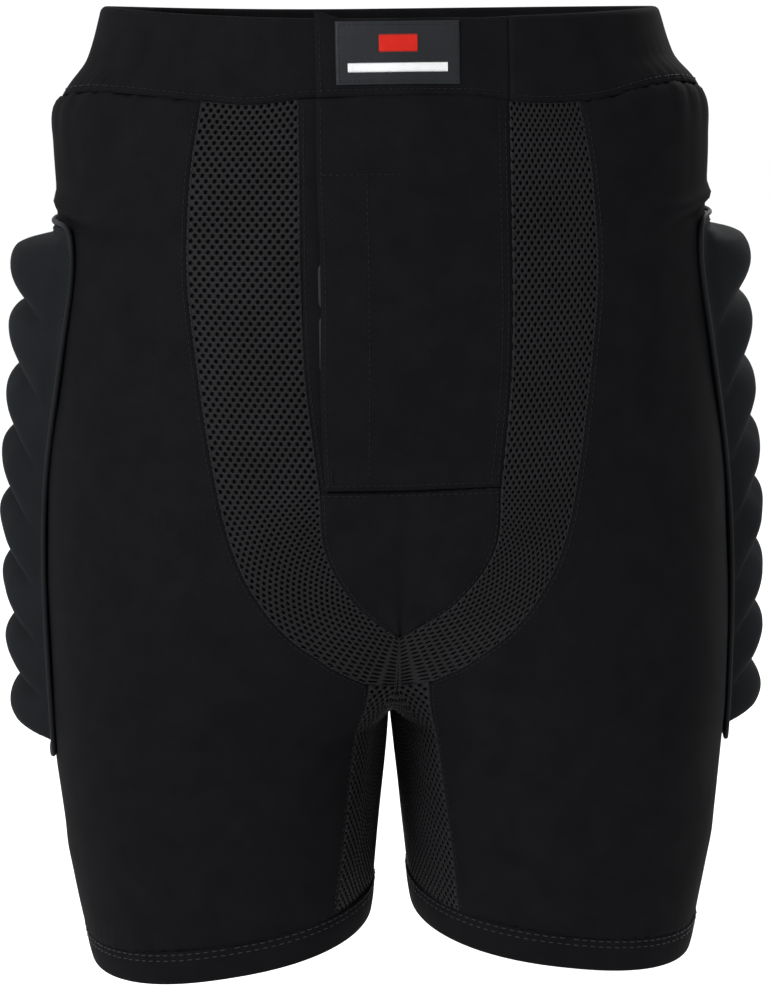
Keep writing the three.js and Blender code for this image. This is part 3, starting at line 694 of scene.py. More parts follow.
@dataclass(frozen=True)
class Stitch:
    """One kind of sewing: the stitch's length, the gap to the next, the thread and its lean, in mm."""

    length: float = 2.4
    gap: float = 0.9
    radius: float = 0.26
    lift: float = 0.22
    lean: float = 0.0

    RINGS = ((0.0, 0.3, -0.7), (0.14, 1.0, 0.6), (0.5, 1.05, 1.0), (0.86, 1.0, 0.6), (1.0, 0.3, -0.7))
    SIDES = 6

    def sew(self, shape: Shape, line: tuple[Array, Array]) -> None:
        """Adds a row of stitches to a shape.

        Args:
            shape: The thread that is being sewn.
            line: Points that the row follows and the cloth's normals there.
        """
        path, normals = line
        run = run_along(path)
        starts = np.arange(self.gap / 2, run[-1] - self.length, self.length + self.gap)
        if not len(starts):
            return
        share = np.array([ring[0] for ring in self.RINGS])
        at = starts[:, None] + share * self.length

        def along(values: Array, where: Array) -> Array:
            """Values of the line at distances along it."""
            return np.stack([np.interp(where, run, values[:, k]) for k in range(3)], -1)

        centre, up = along(path, at), unit(along(normals, at))
        tangent = unit(along(path, at + 0.3) - along(path, at - 0.3))
        side = unit(np.cross(up, tangent))
        lean = (share - 0.5) * 2 * self.lean
        centre = centre + up * (np.array([r[2] for r in self.RINGS]) * self.lift)[None, :, None]
        centre = centre + side * lean[None, :, None]
        wide = (np.array([r[1] for r in self.RINGS]) * self.radius)[:, None, None]
        chart = np.stack(np.broadcast_arrays(at[:, :, None], spokes_of(self.SIDES)), -1)
        shape.add_threads(centre, side, up, wide, chart, self.SIDES)


# ---------------------------------------------------------------- finishes


def linear(code: str) -> tuple[float, float, float, float]:
    """A linear colour from an sRGB hex code such as 1b1c1e."""
    channels = [int(code[i:i + 2], 16) / 255 for i in (0, 2, 4)]
    eased = [c / 12.92 if c <= 0.04045 else ((c + 0.055) / 1.055) ** 2.4 for c in channels]
    return (*eased, 1.0)


def add_node(
    tree: bpy.types.NodeTree, kind: str, settings: dict | None = None, **links: bpy.types.NodeSocket,
) -> bpy.types.Node:
    """Adds one shader node.

    Args:
        tree: The material's node tree.
        kind: The node's type name.
        settings: Attributes to set, and input values by socket name.
        links: Sockets to link, by socket name with _ for a space, or i0, i1 for the first and second.

    Returns:
        The node.
    """
    node = tree.nodes.new(kind)
    for key, value in (settings or {}).items():
        if isinstance(key, str) and hasattr(node, key):
            setattr(node, key, value)
        else:
            node.inputs[key].default_value = value
    for key, source in links.items():
        numbered = key[0] == "i" and key[1:].isdigit()
        tree.links.new(source, node.inputs[int(key[1:]) if numbered else key.replace("_", " ")])
    return node


class Weave(Enum):
    """How threads cross in a cloth, which sets the pattern of its surface."""

    KNIT = "knit"
    TRICOT = "tricot"
    WOVEN = "woven"
    CELLS = "cells"
    PILE = "pile"


@dataclass(frozen=True)
class Textile:
    """A textile or foam finish, with its colours as sRGB hex and its pattern from real sizes in mm."""

    name: str
    dark: str
    light: str
    thread: float
    weave: Weave
    roughness: float = 0.9
    sheen: float = 0.01
    sheen_tint: str = "8a8d92"
    relief: float = 0.05
    specular: float = 0.02
    mottle: float = 26.0

    def material(self) -> bpy.types.Material:
        """Builds the node material: thread pattern, uneven dye, sheen and relief."""
        made = bpy.data.materials.new(self.name)
        made.use_nodes = True
        tree = made.node_tree
        tree.nodes.clear()
        chart = add_node(tree, "ShaderNodeUVMap", {"uv_map": CLOTH_MAP}).outputs["UV"]
        solid = add_node(tree, "ShaderNodeTexCoord").outputs["Object"]
        pattern = self._pattern(tree, chart)
        dye = add_node(
            tree, "ShaderNodeTexNoise",
            {"Scale": 1000 / self.mottle, "Detail": 4.0, "Roughness": 0.6}, Vector=solid,
        ).outputs["Fac"]
        fuzz = add_node(
            tree, "ShaderNodeTexNoise",
            {"Scale": MAP_SPAN / (self.thread * 0.7), "Detail": 3.0}, Vector=chart,
        ).outputs["Fac"]
        parts = [
            add_node(tree, "ShaderNodeMath", {"operation": "MULTIPLY", 1: share}, i0=part).outputs[0]
            for part, share in ((pattern, 0.25), (dye, 0.45), (fuzz, 0.55))
        ]
        total = parts[0]
        for part in parts[1:]:
            total = add_node(tree, "ShaderNodeMath", {"operation": "ADD"}, i0=total, i1=part).outputs[0]
        ramp = add_node(tree, "ShaderNodeValToRGB", {}, Fac=total)
        for end, at, code in zip(ramp.color_ramp.elements, (0.2, 0.95), (self.dark, self.light)):
            end.position, end.color = at, linear(code)
        rough = add_node(
            tree, "ShaderNodeMapRange",
            {"From Min": 0.2, "From Max": 1.0, "To Min": self.roughness, "To Max": self.roughness - 0.12},
            Value=total,
        ).outputs[0]
        height = add_node(tree, "ShaderNodeMath", {"operation": "ADD"}, i0=pattern, i1=fuzz).outputs[0]
        bump = add_node(
            tree, "ShaderNodeBump", {"Strength": 0.6, "Distance": self.relief * MM}, Height=height,
        ).outputs["Normal"]
        shader = add_node(
            tree, "ShaderNodeBsdfPrincipled",
            {
                "Sheen Weight": self.sheen, "Sheen Roughness": 0.45, "Sheen Tint": linear(self.sheen_tint),
                "Specular IOR Level": self.specular,
            },
            Base_Color=ramp.outputs["Color"], Roughness=rough, Normal=bump,
        )
        add_node(tree, "ShaderNodeOutputMaterial", {}, Surface=shader.outputs["BSDF"])
        return made

    def _pattern(self, tree: bpy.types.NodeTree, chart: bpy.types.NodeSocket) -> bpy.types.NodeSocket:
        """The thread pattern as a value from 0 to about 1."""
        scale = MAP_SPAN / self.thread
        if self.weave in (Weave.CELLS, Weave.PILE):
            return add_node(
                tree, "ShaderNodeTexVoronoi", {"Scale": scale, "Randomness": 1.0}, Vector=chart,
            ).outputs["Distance"]
        turn = 0.6 if self.weave is Weave.TRICOT else 0.0
        # A wave texture repeats every 2 pi / 20 of its scaled map, so this scale gives one thread to a wave.
        pitch = scale * math.pi / 10
        turned = add_node(
            tree, "ShaderNodeMapping", {"Rotation": (0.0, 0.0, turn)}, Vector=chart,
        ).outputs["Vector"]
        wales, courses = (
            add_node(
                tree, "ShaderNodeTexWave",
                {"bands_direction": way, "Scale": scaled, "Distortion": bend, "Detail": 1.0,
                 "Detail Scale": 2.0},
                Vector=turned,
            ).outputs["Fac"]
            for way, scaled, bend in (("X", pitch, 1.2), ("Y", pitch * 0.8, 1.6))
        )
        kind = "MAXIMUM" if self.weave is Weave.WOVEN else "MULTIPLY"
        return add_node(tree, "ShaderNodeMath", {"operation": kind}, i0=wales, i1=courses).outputs[0]


class Finishes:
    """Every finish of the shorts, named for what it is and how it is made."""

    def __init__(self) -> None:
        """Builds the materials."""
        # Weft-knit polyester jersey, dyed black: matt, with soft ribs. Real wales are 0.5 mm apart, drawn at
        # 1.0 mm so that the knit shows as a faint grain.
        self.knit = Textile("knit_jersey_dyed", "060607", "121214", 1.0, Weave.KNIT, mottle=14).material()
        # Warp-knit air mesh: rounded polyester threads with more shine than the jersey.
        self.mesh = Textile(
            "air_mesh_warp_knit", "0a0a0b", "1a1a1c", 0.9, Weave.TRICOT,
            roughness=0.6, sheen=0.03, relief=0.08, specular=0.06,
        ).material()
        # Fine net behind the mesh, near black as painted shade for the dark inside of the shorts seen through
        # the holes.
        self.shade_backing = Textile(
            "mesh_net_painted_shade", "050505", "0c0c0d", 0.7, Weave.TRICOT, sheen=0.0, specular=0.03,
        ).material()
        # Brushed tricot bonded to the foam: smooth and close, with a soft bluish sheen on the lobes.
        self.cover = Textile(
            "pad_tricot_brushed", "0c0d0f", "1a1c1e", 0.8, Weave.TRICOT,
            roughness=0.7, sheen=0.006, sheen_tint="8496aa", relief=0.04, specular=0.01, mottle=30,
        ).material()
        # Open-cell polyurethane foam, cut from a block: dull, with fine pores.
        self.foam = Textile(
            "pad_foam_open_cell", "2a2a2c", "46464a", 1.1, Weave.CELLS, roughness=0.97, sheen=0.0, relief=0.3,
        ).material()
        # Bias-cut jersey over a cord: smooth, and shinier where it is stretched round.
        self.piping = Textile(
            "piping_bias_jersey", "08090a", "141517", 0.7, Weave.TRICOT,
            roughness=0.6, sheen=0.03, sheen_tint="8f9dad", relief=0.05, specular=0.06,
        ).material()
        # Woven elastic webbing: rows of rubber-cored cords across a flat tape.
        self.elastic = Textile(
            "elastic_webbing_woven", "111113", "29292c", 1.0, Weave.WOVEN, roughness=0.8, sheen=0.1,
        ).material()
        # Nylon hook and loop tape: a dull ground under tiny shiny hooks or fuzzy loops.
        self.hook = Textile(
            "hook_tape_nylon", "0c0c0e", "1c1c1f", 0.8, Weave.WOVEN, roughness=0.5, sheen=0.03, specular=0.1,
        ).material()
        self.loop = Textile(
            "loop_tape_napped", "121214", "2c2c30", 0.9, Weave.PILE, roughness=0.95, sheen=0.25, relief=0.3,
        ).material()
        # Damask-woven polyester label: a fine satin ground in dark grey with raised satin bars.
        self.label = Textile(
            "label_damask_ground", "0d0e10", "1d1f22", 0.7, Weave.WOVEN,
            roughness=0.55, sheen=0.03, relief=0.06, specular=0.1,
        ).material()
        self.label_pale = Textile(
            "label_satin_pale", "b4b6b8", "e6e6e6", 0.6, Weave.TRICOT, roughness=0.5, relief=0.05,
        ).material()
        self.label_red = Textile(
            "label_satin_red", "8e1a14", "d02c22", 0.6, Weave.TRICOT, roughness=0.5, sheen=0.05, relief=0.05,
        ).material()
        # Spun polyester sewing thread, black and in a worn grey: smooth, so that it catches more light.
        self.thread = Textile(
            "sewing_thread_black", "08090a", "141618", 0.4, Weave.TRICOT,
            roughness=0.5, relief=0.03, specular=0.08,
        ).material()
        self.thread_grey = Textile(
            "sewing_thread_grey", "121315", "25272a", 0.4, Weave.TRICOT,
            roughness=0.5, relief=0.03, specular=0.1,
        ).material()


# ---------------------------------------------------------------- laying cloth


class Tailor:
    """Makes pieces of the shorts on one form, puts each on its body and logs the sheets' flat sizes."""

    def __init__(self, form: BodyForm, finishes: Finishes, drape: Drape) -> None:
        """Keeps what all the sub-assemblies share."""
        self.form, self.finishes, self.drape = form, finishes, drape

    def piece(
        self, shape: Shape, name: str, material: bpy.types.Material, body: str,
        slot: str | None = None, node: str | None = None,
    ) -> bpy.types.Object:
        """Makes one piece and puts it on its body.

        Args:
            shape: Its mesh.
            name: Its name.
            material: Its finish.
            body: The CAD body that it moves with.
            slot: The piece's material slot, if it has one. Not used.
            node: The CAD node that it stands for, if any.

        Returns:
            The object.
        """
        made = shape.object(name, material, self.form.side_length)
        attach(made, body)
        if node:
            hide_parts(node)
        LOG.info("%s: %d points", name, len(made.data.vertices))
        return made

    def level_of(self, side: int, points: Array, turn: Array) -> Array:
        """The drape's level at points of the form."""
        return self.drape.level(side, turn, points[..., 2], points)

    def on_side(self, side: int, where: Callable[[Array, Array], tuple[Array, Array]]) -> Place:
        """Places cloth on one side of the form, by the turn and height of each u and v."""
        return lambda u, v, level: self.form.skin(side, *where(u, v), level)

    def cloth(
        self, place: Place, columns: int, rows: int, thickness: float, wrinkle: Callable | None = None,
        pucker: float = 0.22, pucker_edges: Sequence[Edge] = tuple(Edge), roll: float = 0.7,
        rolled: Sequence[Edge] = tuple(Edge),
    ) -> tuple[Shape, Surface]:
        """A sheet of cloth with rolled edges and small puckers along its seams.

        Args:
            place: Gives points from u, v and a level, with u and v from 0 to 1.
            columns: Steps across.
            rows: Steps up.
            thickness: The cloth's thickness in mm.
            wrinkle: Gives the level of the folds from u, v and the points, or None.
            pucker: Height of the puckers.
            pucker_edges: The edges that have them.
            roll: How far the outer face turns down at its edges.
            rolled: The edges that turn down.

        Returns:
            The closed shape and its outer face.
        """
        u, v = share_grid(columns, rows)
        base = place(u, v, np.zeros_like(u))
        out = place(u, v, np.ones_like(u)) - base
        plain = Surface(base, out)
        level = np.zeros_like(u) if wrinkle is None else wrinkle(u, v, base)
        for edge in pucker_edges:
            run = plain.distance[Edge.FOOT if edge in (Edge.START, Edge.END) else Edge.START]
            wave = np.sin(run / 7.0 * 2 * math.pi + 1.7 * np.sin(run / 23.0))
            level = level + pucker * wave * np.exp(-plain.distance[edge] / 7.0)
        dip = sum(np.exp(-plain.distance[edge] / 1.3) for edge in rolled)
        outer = Surface(place(u, v, level - roll * np.minimum(dip, 1.2)), out)
        inner = place(u, v, level - thickness + 0.25 * roll * np.minimum(dip, 1.2))
        return Shape().add_layers(outer.points, inner, plain.chart()), outer

    def declare(
        self, piece: bpy.types.Object, surface: Surface, held: str, rests_on: Sequence[str],
    ) -> None:
        """Logs the flat size and area that a sheet's cut had.

        Args:
            piece: The sheet.
            surface: Its outer face, which gives the cut's size.
            held: How it is held. Not used.
            rests_on: What it lies on or is sewn to. Not used.
        """
        (width, length), area = surface.flat_size()
        area = min(max(area, 0.31 * width * length), width * length)
        LOG.info("%s: flat %.3f x %.3f m, %.4f m2", piece.name, width, length, area)


@dataclass(frozen=True)
class NetCells:
    """Air mesh: a honeycomb of knitted threads with a real hole in each cell."""

    across: int
    up: int
    hole_wide: float = 0.42
    hole_tall: float = 0.64
    thick: float = 1.1
    rounding: float = 0.38
    cell_wide: float = 3.9
    cell_tall: float = 2.5

    def build(self, place: Place, wrinkle: Callable) -> tuple[Shape, Surface]:
        """Lays the net between the sheet's edges.

        Args:
            place: Gives points from u, v and a level.
            wrinkle: Gives the level of the folds from u, v and the points.

        Returns:
            The closed shape, and a plain face on which seams can be sewn.
        """
        c, r = self.across, self.up
        k, j = np.meshgrid(np.arange(2 * c + 1), np.arange(r + 1), indexing="ij")
        lean = np.where((k + j) % 2 == 0, 1.0, -1.0) / 6
        lean[:, [0, -1]] = 0
        knot_u, knot_v = k / (2 * c), (j + lean) / r
        number = np.arange(knot_u.size).reshape(knot_u.shape)
        corner, u_mid, v_mid = [], [], []
        for row in range(r):
            left = np.arange(row % 2, 2 * c - 1, 2)
            corner.append(np.stack([
                number[left, row], number[left + 1, row], number[left + 2, row],
                number[left + 2, row + 1], number[left + 1, row + 1], number[left, row + 1],
            ], -1))
            u_mid.append((left + 1) / (2 * c))
            v_mid.append(np.full(len(left), (row + 0.5) / r))
        corner, u_mid, v_mid = np.concatenate(corner), np.concatenate(u_mid), np.concatenate(v_mid)
        flat_u, flat_v = knot_u.ravel(), knot_v.ravel()
        hole_u = u_mid[:, None] + (flat_u[corner] - u_mid[:, None]) * self.hole_wide
        hole_v = v_mid[:, None] + (flat_v[corner] - v_mid[:, None]) * self.hole_tall
        u = np.concatenate([flat_u, hole_u.ravel()])
        v = np.concatenate([flat_v, hole_v.ravel()])
        deep = np.concatenate([np.zeros(flat_u.size), np.full(hole_u.size, self.rounding)])
        base = place(u, v, np.zeros_like(u))
        level = wrinkle(u, v, base)
        outer = place(u, v, level - deep)
        inner = place(u, v, level - self.thick + deep)
        ring = flat_u.size + np.arange(corner.size).reshape(corner.shape)
        turned, ring_turned = np.roll(corner, -1, 1), np.roll(ring, -1, 1)
        threads = quads(corner, turned, ring_turned, ring)
        odd = np.arange(1, r, 2)
        last = 2 * c
        ends = np.concatenate([
            quads(number[0, odd], number[1, odd], number[1, odd + 1], number[0, odd + 1]),
            quads(*(number[column, row] for column, row in (
                (last - 1, odd), (last, odd), (last, odd + 1), (last - 1, odd + 1),
            ))),
        ])
        face = np.concatenate([threads, ends])
        size = len(u)
        walls = quads(ring, ring_turned, ring_turned + size, ring + size)
        rim, after = rim_of(number)
        side = quads(after, rim, rim + size, after + size)
        uu, vv = share_grid(2 * c, r)
        plain = place(uu, vv, np.zeros_like(uu))
        lifted = wrinkle(uu, vv, plain)
        surface = Surface(place(uu, vv, lifted), place(uu, vv, lifted + 1) - plain)
        chart = np.stack([u * self.across * self.cell_wide, v * self.up * self.cell_tall], -1)
        shape = Shape().add(
            np.concatenate([outer, inner]), np.concatenate([chart, chart]),
            [face, face[:, ::-1] + size, walls, side],
        )
        return shape, surface


# ---------------------------------------------------------------- the shell


@dataclass
class ShellPanels:
    """The knit panels of the trunk and legs, and the thread that joins them."""

    tailor: Tailor
    seams: SeamPlan
    knit: float = 2.0
    side_seam: float = 108.0
    foot_steps: int = 97
    seam_stitch: Stitch = Stitch(2.3, 0.9, 0.25, 0.2)
    thread: Shape = field(default_factory=Shape)

    def build(self) -> None:
        """Makes the panels of both legs, the crotch panel and their stitching."""
        for side, word in ((1, "left"), (-1, "right")):
            self._front(side, word)
            self._back(side, word)
        self._crotch()
        t = self.tailor
        t.piece(self.thread, "shell_seam_thread", t.finishes.thread, "shell")

    def _tops(self, base: Array) -> Array:
        """Soft gathers that hang from the waistband seam, strongest at the sides."""
        f = self.tailor.form
        drop = np.maximum(f.panel_top - base[..., 2], 0)
        around = np.degrees(np.arctan2(base[..., 0], -base[..., 1]))
        beside = np.clip(np.abs(np.sin(np.radians(around))), 0, 1) ** 2
        wave = np.sin(around * 1.05) * 0.6 + np.sin(around * 0.57 + 1.0) * 0.5
        return 0.75 * wave * beside * np.exp(-drop / 16)

    def _panel(self, side: int, word: str, kind: str, edges: Callable, columns: int) -> Surface:
        """A knit panel that runs from above the turn-up to the waistband.

        Args:
            side: 1 for the wearer's left and -1 for the right.
            word: The side in words.
            kind: The panel's name without its side.
            edges: Gives the turns of its two long edges at a height.
            columns: Steps across.

        Returns:
            Its outer face.
        """
        t, f = self.tailor, self.tailor.form
        across = np.linspace(0, 1, self.foot_steps)
        foot = f.foot_line(lambda height: mix(*edges(height), across), f.above_turn_up)

        def where(u: Array, v: Array) -> tuple[Array, Array]:
            """Turn and height of each point."""
            height = mix(np.interp(u, across, foot), f.panel_top, v)
            return mix(*edges(height), u), height

        def wrinkle(u: Array, v: Array, base: Array) -> Array:
            """Folds of the panel."""
            return t.level_of(side, base, where(u, v)[0]) + self._tops(base)

        sewn = (Edge.START, Edge.END, Edge.TOP)
        shape, surface = t.cloth(t.on_side(side, where), columns, 160, self.knit, wrinkle, rolled=sewn)
        node = f"{kind}_{word}"
        made = t.piece(shape, f"{node}_knit", t.finishes.knit, "shell", "knit_jersey", node)
        t.declare(made, surface, "stretched", ["waistband_casing", f"hem_band_{word}"])
        return surface

    def _front(self, side: int, word: str) -> None:
        """The panel that wraps from the mesh band round the outside of the thigh."""
        f = self.tailor.form

        def edges(height: Array) -> tuple[Array, float]:
            """Turns of the mesh's edge and of the side seam."""
            above = f.turn_at(self.seams.mesh_outer(height) - OVERLAP, height)
            return np.where(height < f.gusset_top, f.gusset_turn(height), above), self.side_seam

        surface = self._panel(side, word, "thigh_panel", edges, 100)
        self.seam_stitch.sew(self.thread, surface.beside(Edge.START, 2.2, 0.01, 0.99))

    def _back(self, side: int, word: str) -> None:
        """The panel that covers the back of the leg and half of the seat."""
        f = self.tailor.form

        def edges(height: Array) -> tuple[float, Array]:
            """Turns of the side seam and of the inner edge: the strip's back edge, then the middle."""
            share = np.clip((height - f.gusset_top) / (f.gusset_back_tip - f.gusset_top), 0, 1)
            above = f.turn_at(mix(f.strip_top_x, -OVERLAP, share), height)
            return self.side_seam - 0.1, 180 - np.where(height <= f.gusset_top, f.gusset_turn(height), above)

        surface = self._panel(side, word, "seat_panel", edges, 76)
        for edge, inset, begin, end in (
            (Edge.END, 2.2, 0.01, 0.99), (Edge.START, 2.4, 0.01, 0.18), (Edge.START, 2.4, 0.86, 0.99),
        ):
            self.seam_stitch.sew(self.thread, surface.beside(edge, inset, begin, end))

    def _crotch(self) -> None:
        """The panel under the fly, which narrows to a tip between the mesh bands."""
        t, f = self.tailor, self.tailor.form
        low = float(self.seams.inner_height(np.array(mix(f.mesh_low, f.gusset_top, 0.5))))

        def place(u: Array, v: Array, level: Array) -> Array:
            """Points of the panel."""
            height = mix(low, f.fly_foot, v)
            x = mix(-self.seams.underlap_seam(height), self.seams.fly_seam(height), u)
            return f.front_skin(x + mix(-OVERLAP, OVERLAP, u), height, level)

        def wrinkle(u: Array, v: Array, base: Array) -> Array:
            """Drag lines that fan out from the tip."""
            fan = 0.5 * np.cos(u * 5 * math.pi) * (1 - v) ** 1.2
            middle = -1.3 * bell((u - 0.47) * 2, 0.12) * (1 - v) ** 0.8
            return t.drape.ripple(base) + fan + middle

        shape, surface = t.cloth(place, 40, 40, self.knit, wrinkle)
        made = t.piece(shape, "crotch_panel_knit", t.finishes.knit, "shell", "knit_jersey", "crotch_panel")
        t.declare(made, surface, "stretched", ["fly_underlap", "front_mesh_left", "front_mesh_right"])
        for line in ((Edge.START, 2.0, 0.12, 0.99), (Edge.END, 2.0, 0.12, 0.99), (Edge.TOP, 2.4)):
            self.seam_stitch.sew(self.thread, surface.beside(*line))


@dataclass
class MeshInserts:
    """The two mesh bands beside the fly and the mesh strips inside the legs."""

    tailor: Tailor
    seams: SeamPlan
    band_cells: NetCells = NetCells(13, 112)
    strip_cells: NetCells = NetCells(34, 48)
    stitch: Stitch = Stitch(1.6, 0.9, 0.24, 0.3, 0.5)
    thread: Shape = field(default_factory=Shape)

    def build(self) -> None:
        """Makes the four inserts and the thread along their edges."""
        for side, word in ((1, "left"), (-1, "right")):
            self._band(side, word)
            self._strip(side, word)
        t = self.tailor
        t.piece(self.thread, "mesh_edge_thread", t.finishes.thread_grey, "shell")

    def _band(self, side: int, word: str) -> None:
        """The band from the waistband down beside the fly to the crotch."""
        t, f, seams = self.tailor, self.tailor.form, self.seams
        inner_x = seams.fly_seam if side > 0 else seams.underlap_seam

        def where(u: Array, v: Array) -> tuple[Array, Array]:
            """Turn and height of each point."""
            row = mix(f.mesh_low, f.panel_top, v)
            inner = seams.inner_height(row)
            tip = f.strip_top_x * (row - f.mesh_low) / (f.gusset_top - f.mesh_low)
            outer = np.where(row < f.gusset_top, tip, seams.mesh_outer(row))
            x = mix(inner_x(inner) - OVERLAP, outer + OVERLAP, u)
            height = mix(inner, row, u)
            return f.turn_at(np.maximum(x, -OVERLAP), height), height

        def wrinkle(u: Array, v: Array, base: Array) -> Array:
            """Folds of the band, which dips a little at its seams."""
            edge = np.exp(-u * 14) + np.exp(-(1 - u) * 14)
            return t.level_of(side, base, where(u, v)[0]) - 0.45 * edge - 0.1

        name, rests_on = f"front_mesh_{word}", ["waistband_casing", f"thigh_panel_{word}"]
        self._insert(name, self.band_cells, t.on_side(side, where), wrinkle, (24, 120), 0.99, rests_on)

    def _insert(
        self, node: str, cells: NetCells, place: Place, wrinkle: Callable, steps: tuple[int, int],
        sewn_to: float, rests_on: Sequence[str],
    ) -> None:
        """Makes one mesh with a near-black net behind it as painted shade, and sews both long edges.

        Args:
            node: The CAD node that the mesh stands for.
            cells: Its honeycomb.
            place: Gives points from u, v and a level.
            wrinkle: Gives the level of its folds.
            steps: Columns and rows of the backing.
            sewn_to: Share of the long edges at which their stitching ends.
            rests_on: What it is sewn to.
        """
        t = self.tailor

        def behind(u: Array, v: Array, base: Array) -> Array:
            """Folds of the backing, 1.5 mm behind the mesh's face."""
            return wrinkle(u, v, base) - 1.5

        # The backing's near-black colour is painted shade for the dark inside of the shorts seen through the
        # holes.
        shade_backing, face = t.cloth(place, *steps, 0.35, behind, 0.0, (), 0.0)
        made = t.piece(shade_backing, f"{node}_backing", t.finishes.shade_backing, "shell", "air_mesh")
        t.declare(made, face, "stretched", [f"{node}_net"])
        shape, surface = cells.build(place, wrinkle)
        made = t.piece(shape, f"{node}_net", t.finishes.mesh, "shell", "air_mesh", node)
        t.declare(made, surface, "stretched", rests_on)
        for edge in (Edge.START, Edge.END):
            self.stitch.sew(self.thread, surface.beside(edge, 0.8, 0.02, sewn_to))

    def _strip(self, side: int, word: str) -> None:
        """The strip down the inside of the leg."""
        t, f = self.tailor, self.tailor.form

        def turn_of(u: Array, height: Array) -> Array:
            """Turn from the strip's front edge to its back edge."""
            return -90 + (1 - 2 * u) * (90 + f.gusset_turn(height) + 0.1)

        across = np.linspace(0, 1, 81)
        tip = np.where(across < 0.5, f.mesh_low, f.gusset_back_tip)
        low, high = np.full(81, f.inseam), np.full(81, f.gusset_back_tip + 2)
        for _ in range(24):
            middle = (low + high) / 2
            x = f.point(turn_of(across, middle), middle)[..., 0]
            limit = mix(tip, f.gusset_top, np.clip(x / f.strip_top_x, 0, 1)) - f.seam_gap
            inside = (x > -OVERLAP) & (middle < limit)
            low, high = np.where(inside, middle, low), np.where(inside, high, middle)
        foot = f.foot_line(lambda height: turn_of(across, height), f.above_turn_up)

        def where(u: Array, v: Array) -> tuple[Array, Array]:
            """Turn and height of each point."""
            height = mix(np.interp(u, across, foot), np.interp(u, across, low), v)
            return turn_of(u, height), height

        def wrinkle(u: Array, v: Array, base: Array) -> Array:
            """Only the slow ripple, because the strip is held between two seams."""
            return t.drape.ripple(base) - 0.3

        name, rests_on = f"inseam_mesh_{word}", [f"thigh_panel_{word}", f"seat_panel_{word}"]
        self._insert(name, self.strip_cells, t.on_side(side, where), wrinkle, (60, 60), 0.98, rests_on)


@dataclass
class Hems:
    """The turned-up edge of each leg with its cover stitch."""

    tailor: Tailor
    thick: float = 3.0
    layer: float = 1.3
    around: int = 220
    stitch: Stitch = Stitch(2.8, 1.3, 0.3, 0.3)

    def build(self) -> None:
        """Makes both hems and their stitching."""
        t, f = self.tailor, self.tailor.form
        thread = Shape()
        half, inner_half = self.thick / 2, self.thick / 2 - self.layer
        bend, small = np.radians(np.linspace(0, 180, 9)), np.radians(np.linspace(180, 0, 7))
        down, inside = np.linspace(f.turn_up, half, 9), np.linspace(half, f.turn_up, 7)
        above = np.concatenate([
            down, half - half * np.sin(bend[1:-1]), down[::-1], inside[::-1],
            half - inner_half * np.sin(small[1:-1]), inside,
        ])
        level = np.concatenate([
            np.zeros(9), -half + half * np.cos(bend[1:-1]), np.full(9, -self.thick),
            np.full(7, self.layer - self.thick), -half + inner_half * np.cos(small[1:-1]),
            np.full(7, -self.layer),
        ])
        level[0] -= 0.15
        turns = np.arange(self.around) / self.around * 360
        for side, word in ((1, "left"), (-1, "right")):
            wave = 0.22 * np.sin(turns / 360 * 2 * math.pi * 52 + np.sin(turns / 9))[:, None]
            swell = 0.55 * np.sin(math.pi * np.clip(above / f.turn_up, 0, 1))[None]
            outer = (level > -half)[None]
            lift = level[None] + np.where(outer, swell + wave * (above / f.turn_up)[None] ** 2, 0.0)
            loops = f.over_hem(side, turns[:, None], above[None], lift)
            run = run_along(loops[:, 0])
            chart = np.stack(np.broadcast_arrays(run[:, None], np.abs(level) + above[None]), -1)
            shape = Shape().add(loops, chart, sweep(loops, True))
            node = f"hem_band_{word}"
            made = t.piece(shape, f"{node}_knit", t.finishes.knit, "shell", "knit_jersey", node)
            girth = float(run[-1]) * MM
            depth = (2 * f.turn_up + self.thick) * MM
            LOG.info("%s: flat %.3f x %.3f m", made.name, girth, depth)
            for height in (f.turn_up - 1.6, f.turn_up - 4.6):
                ripple = wave[:, 0] * 0.7
                places = f.over_hem(side, turns, height, ripple + 0.12)
                normals = unit(places - f.over_hem(side, turns, height, ripple - 1.0))
                closed = (np.concatenate([places, places[:1]]), np.concatenate([normals, normals[:1]]))
                self.stitch.sew(thread, closed)
        t.piece(thread, "hem_cover_thread", t.finishes.thread_grey, "shell")


# ---------------------------------------------------------------- waistband and closure


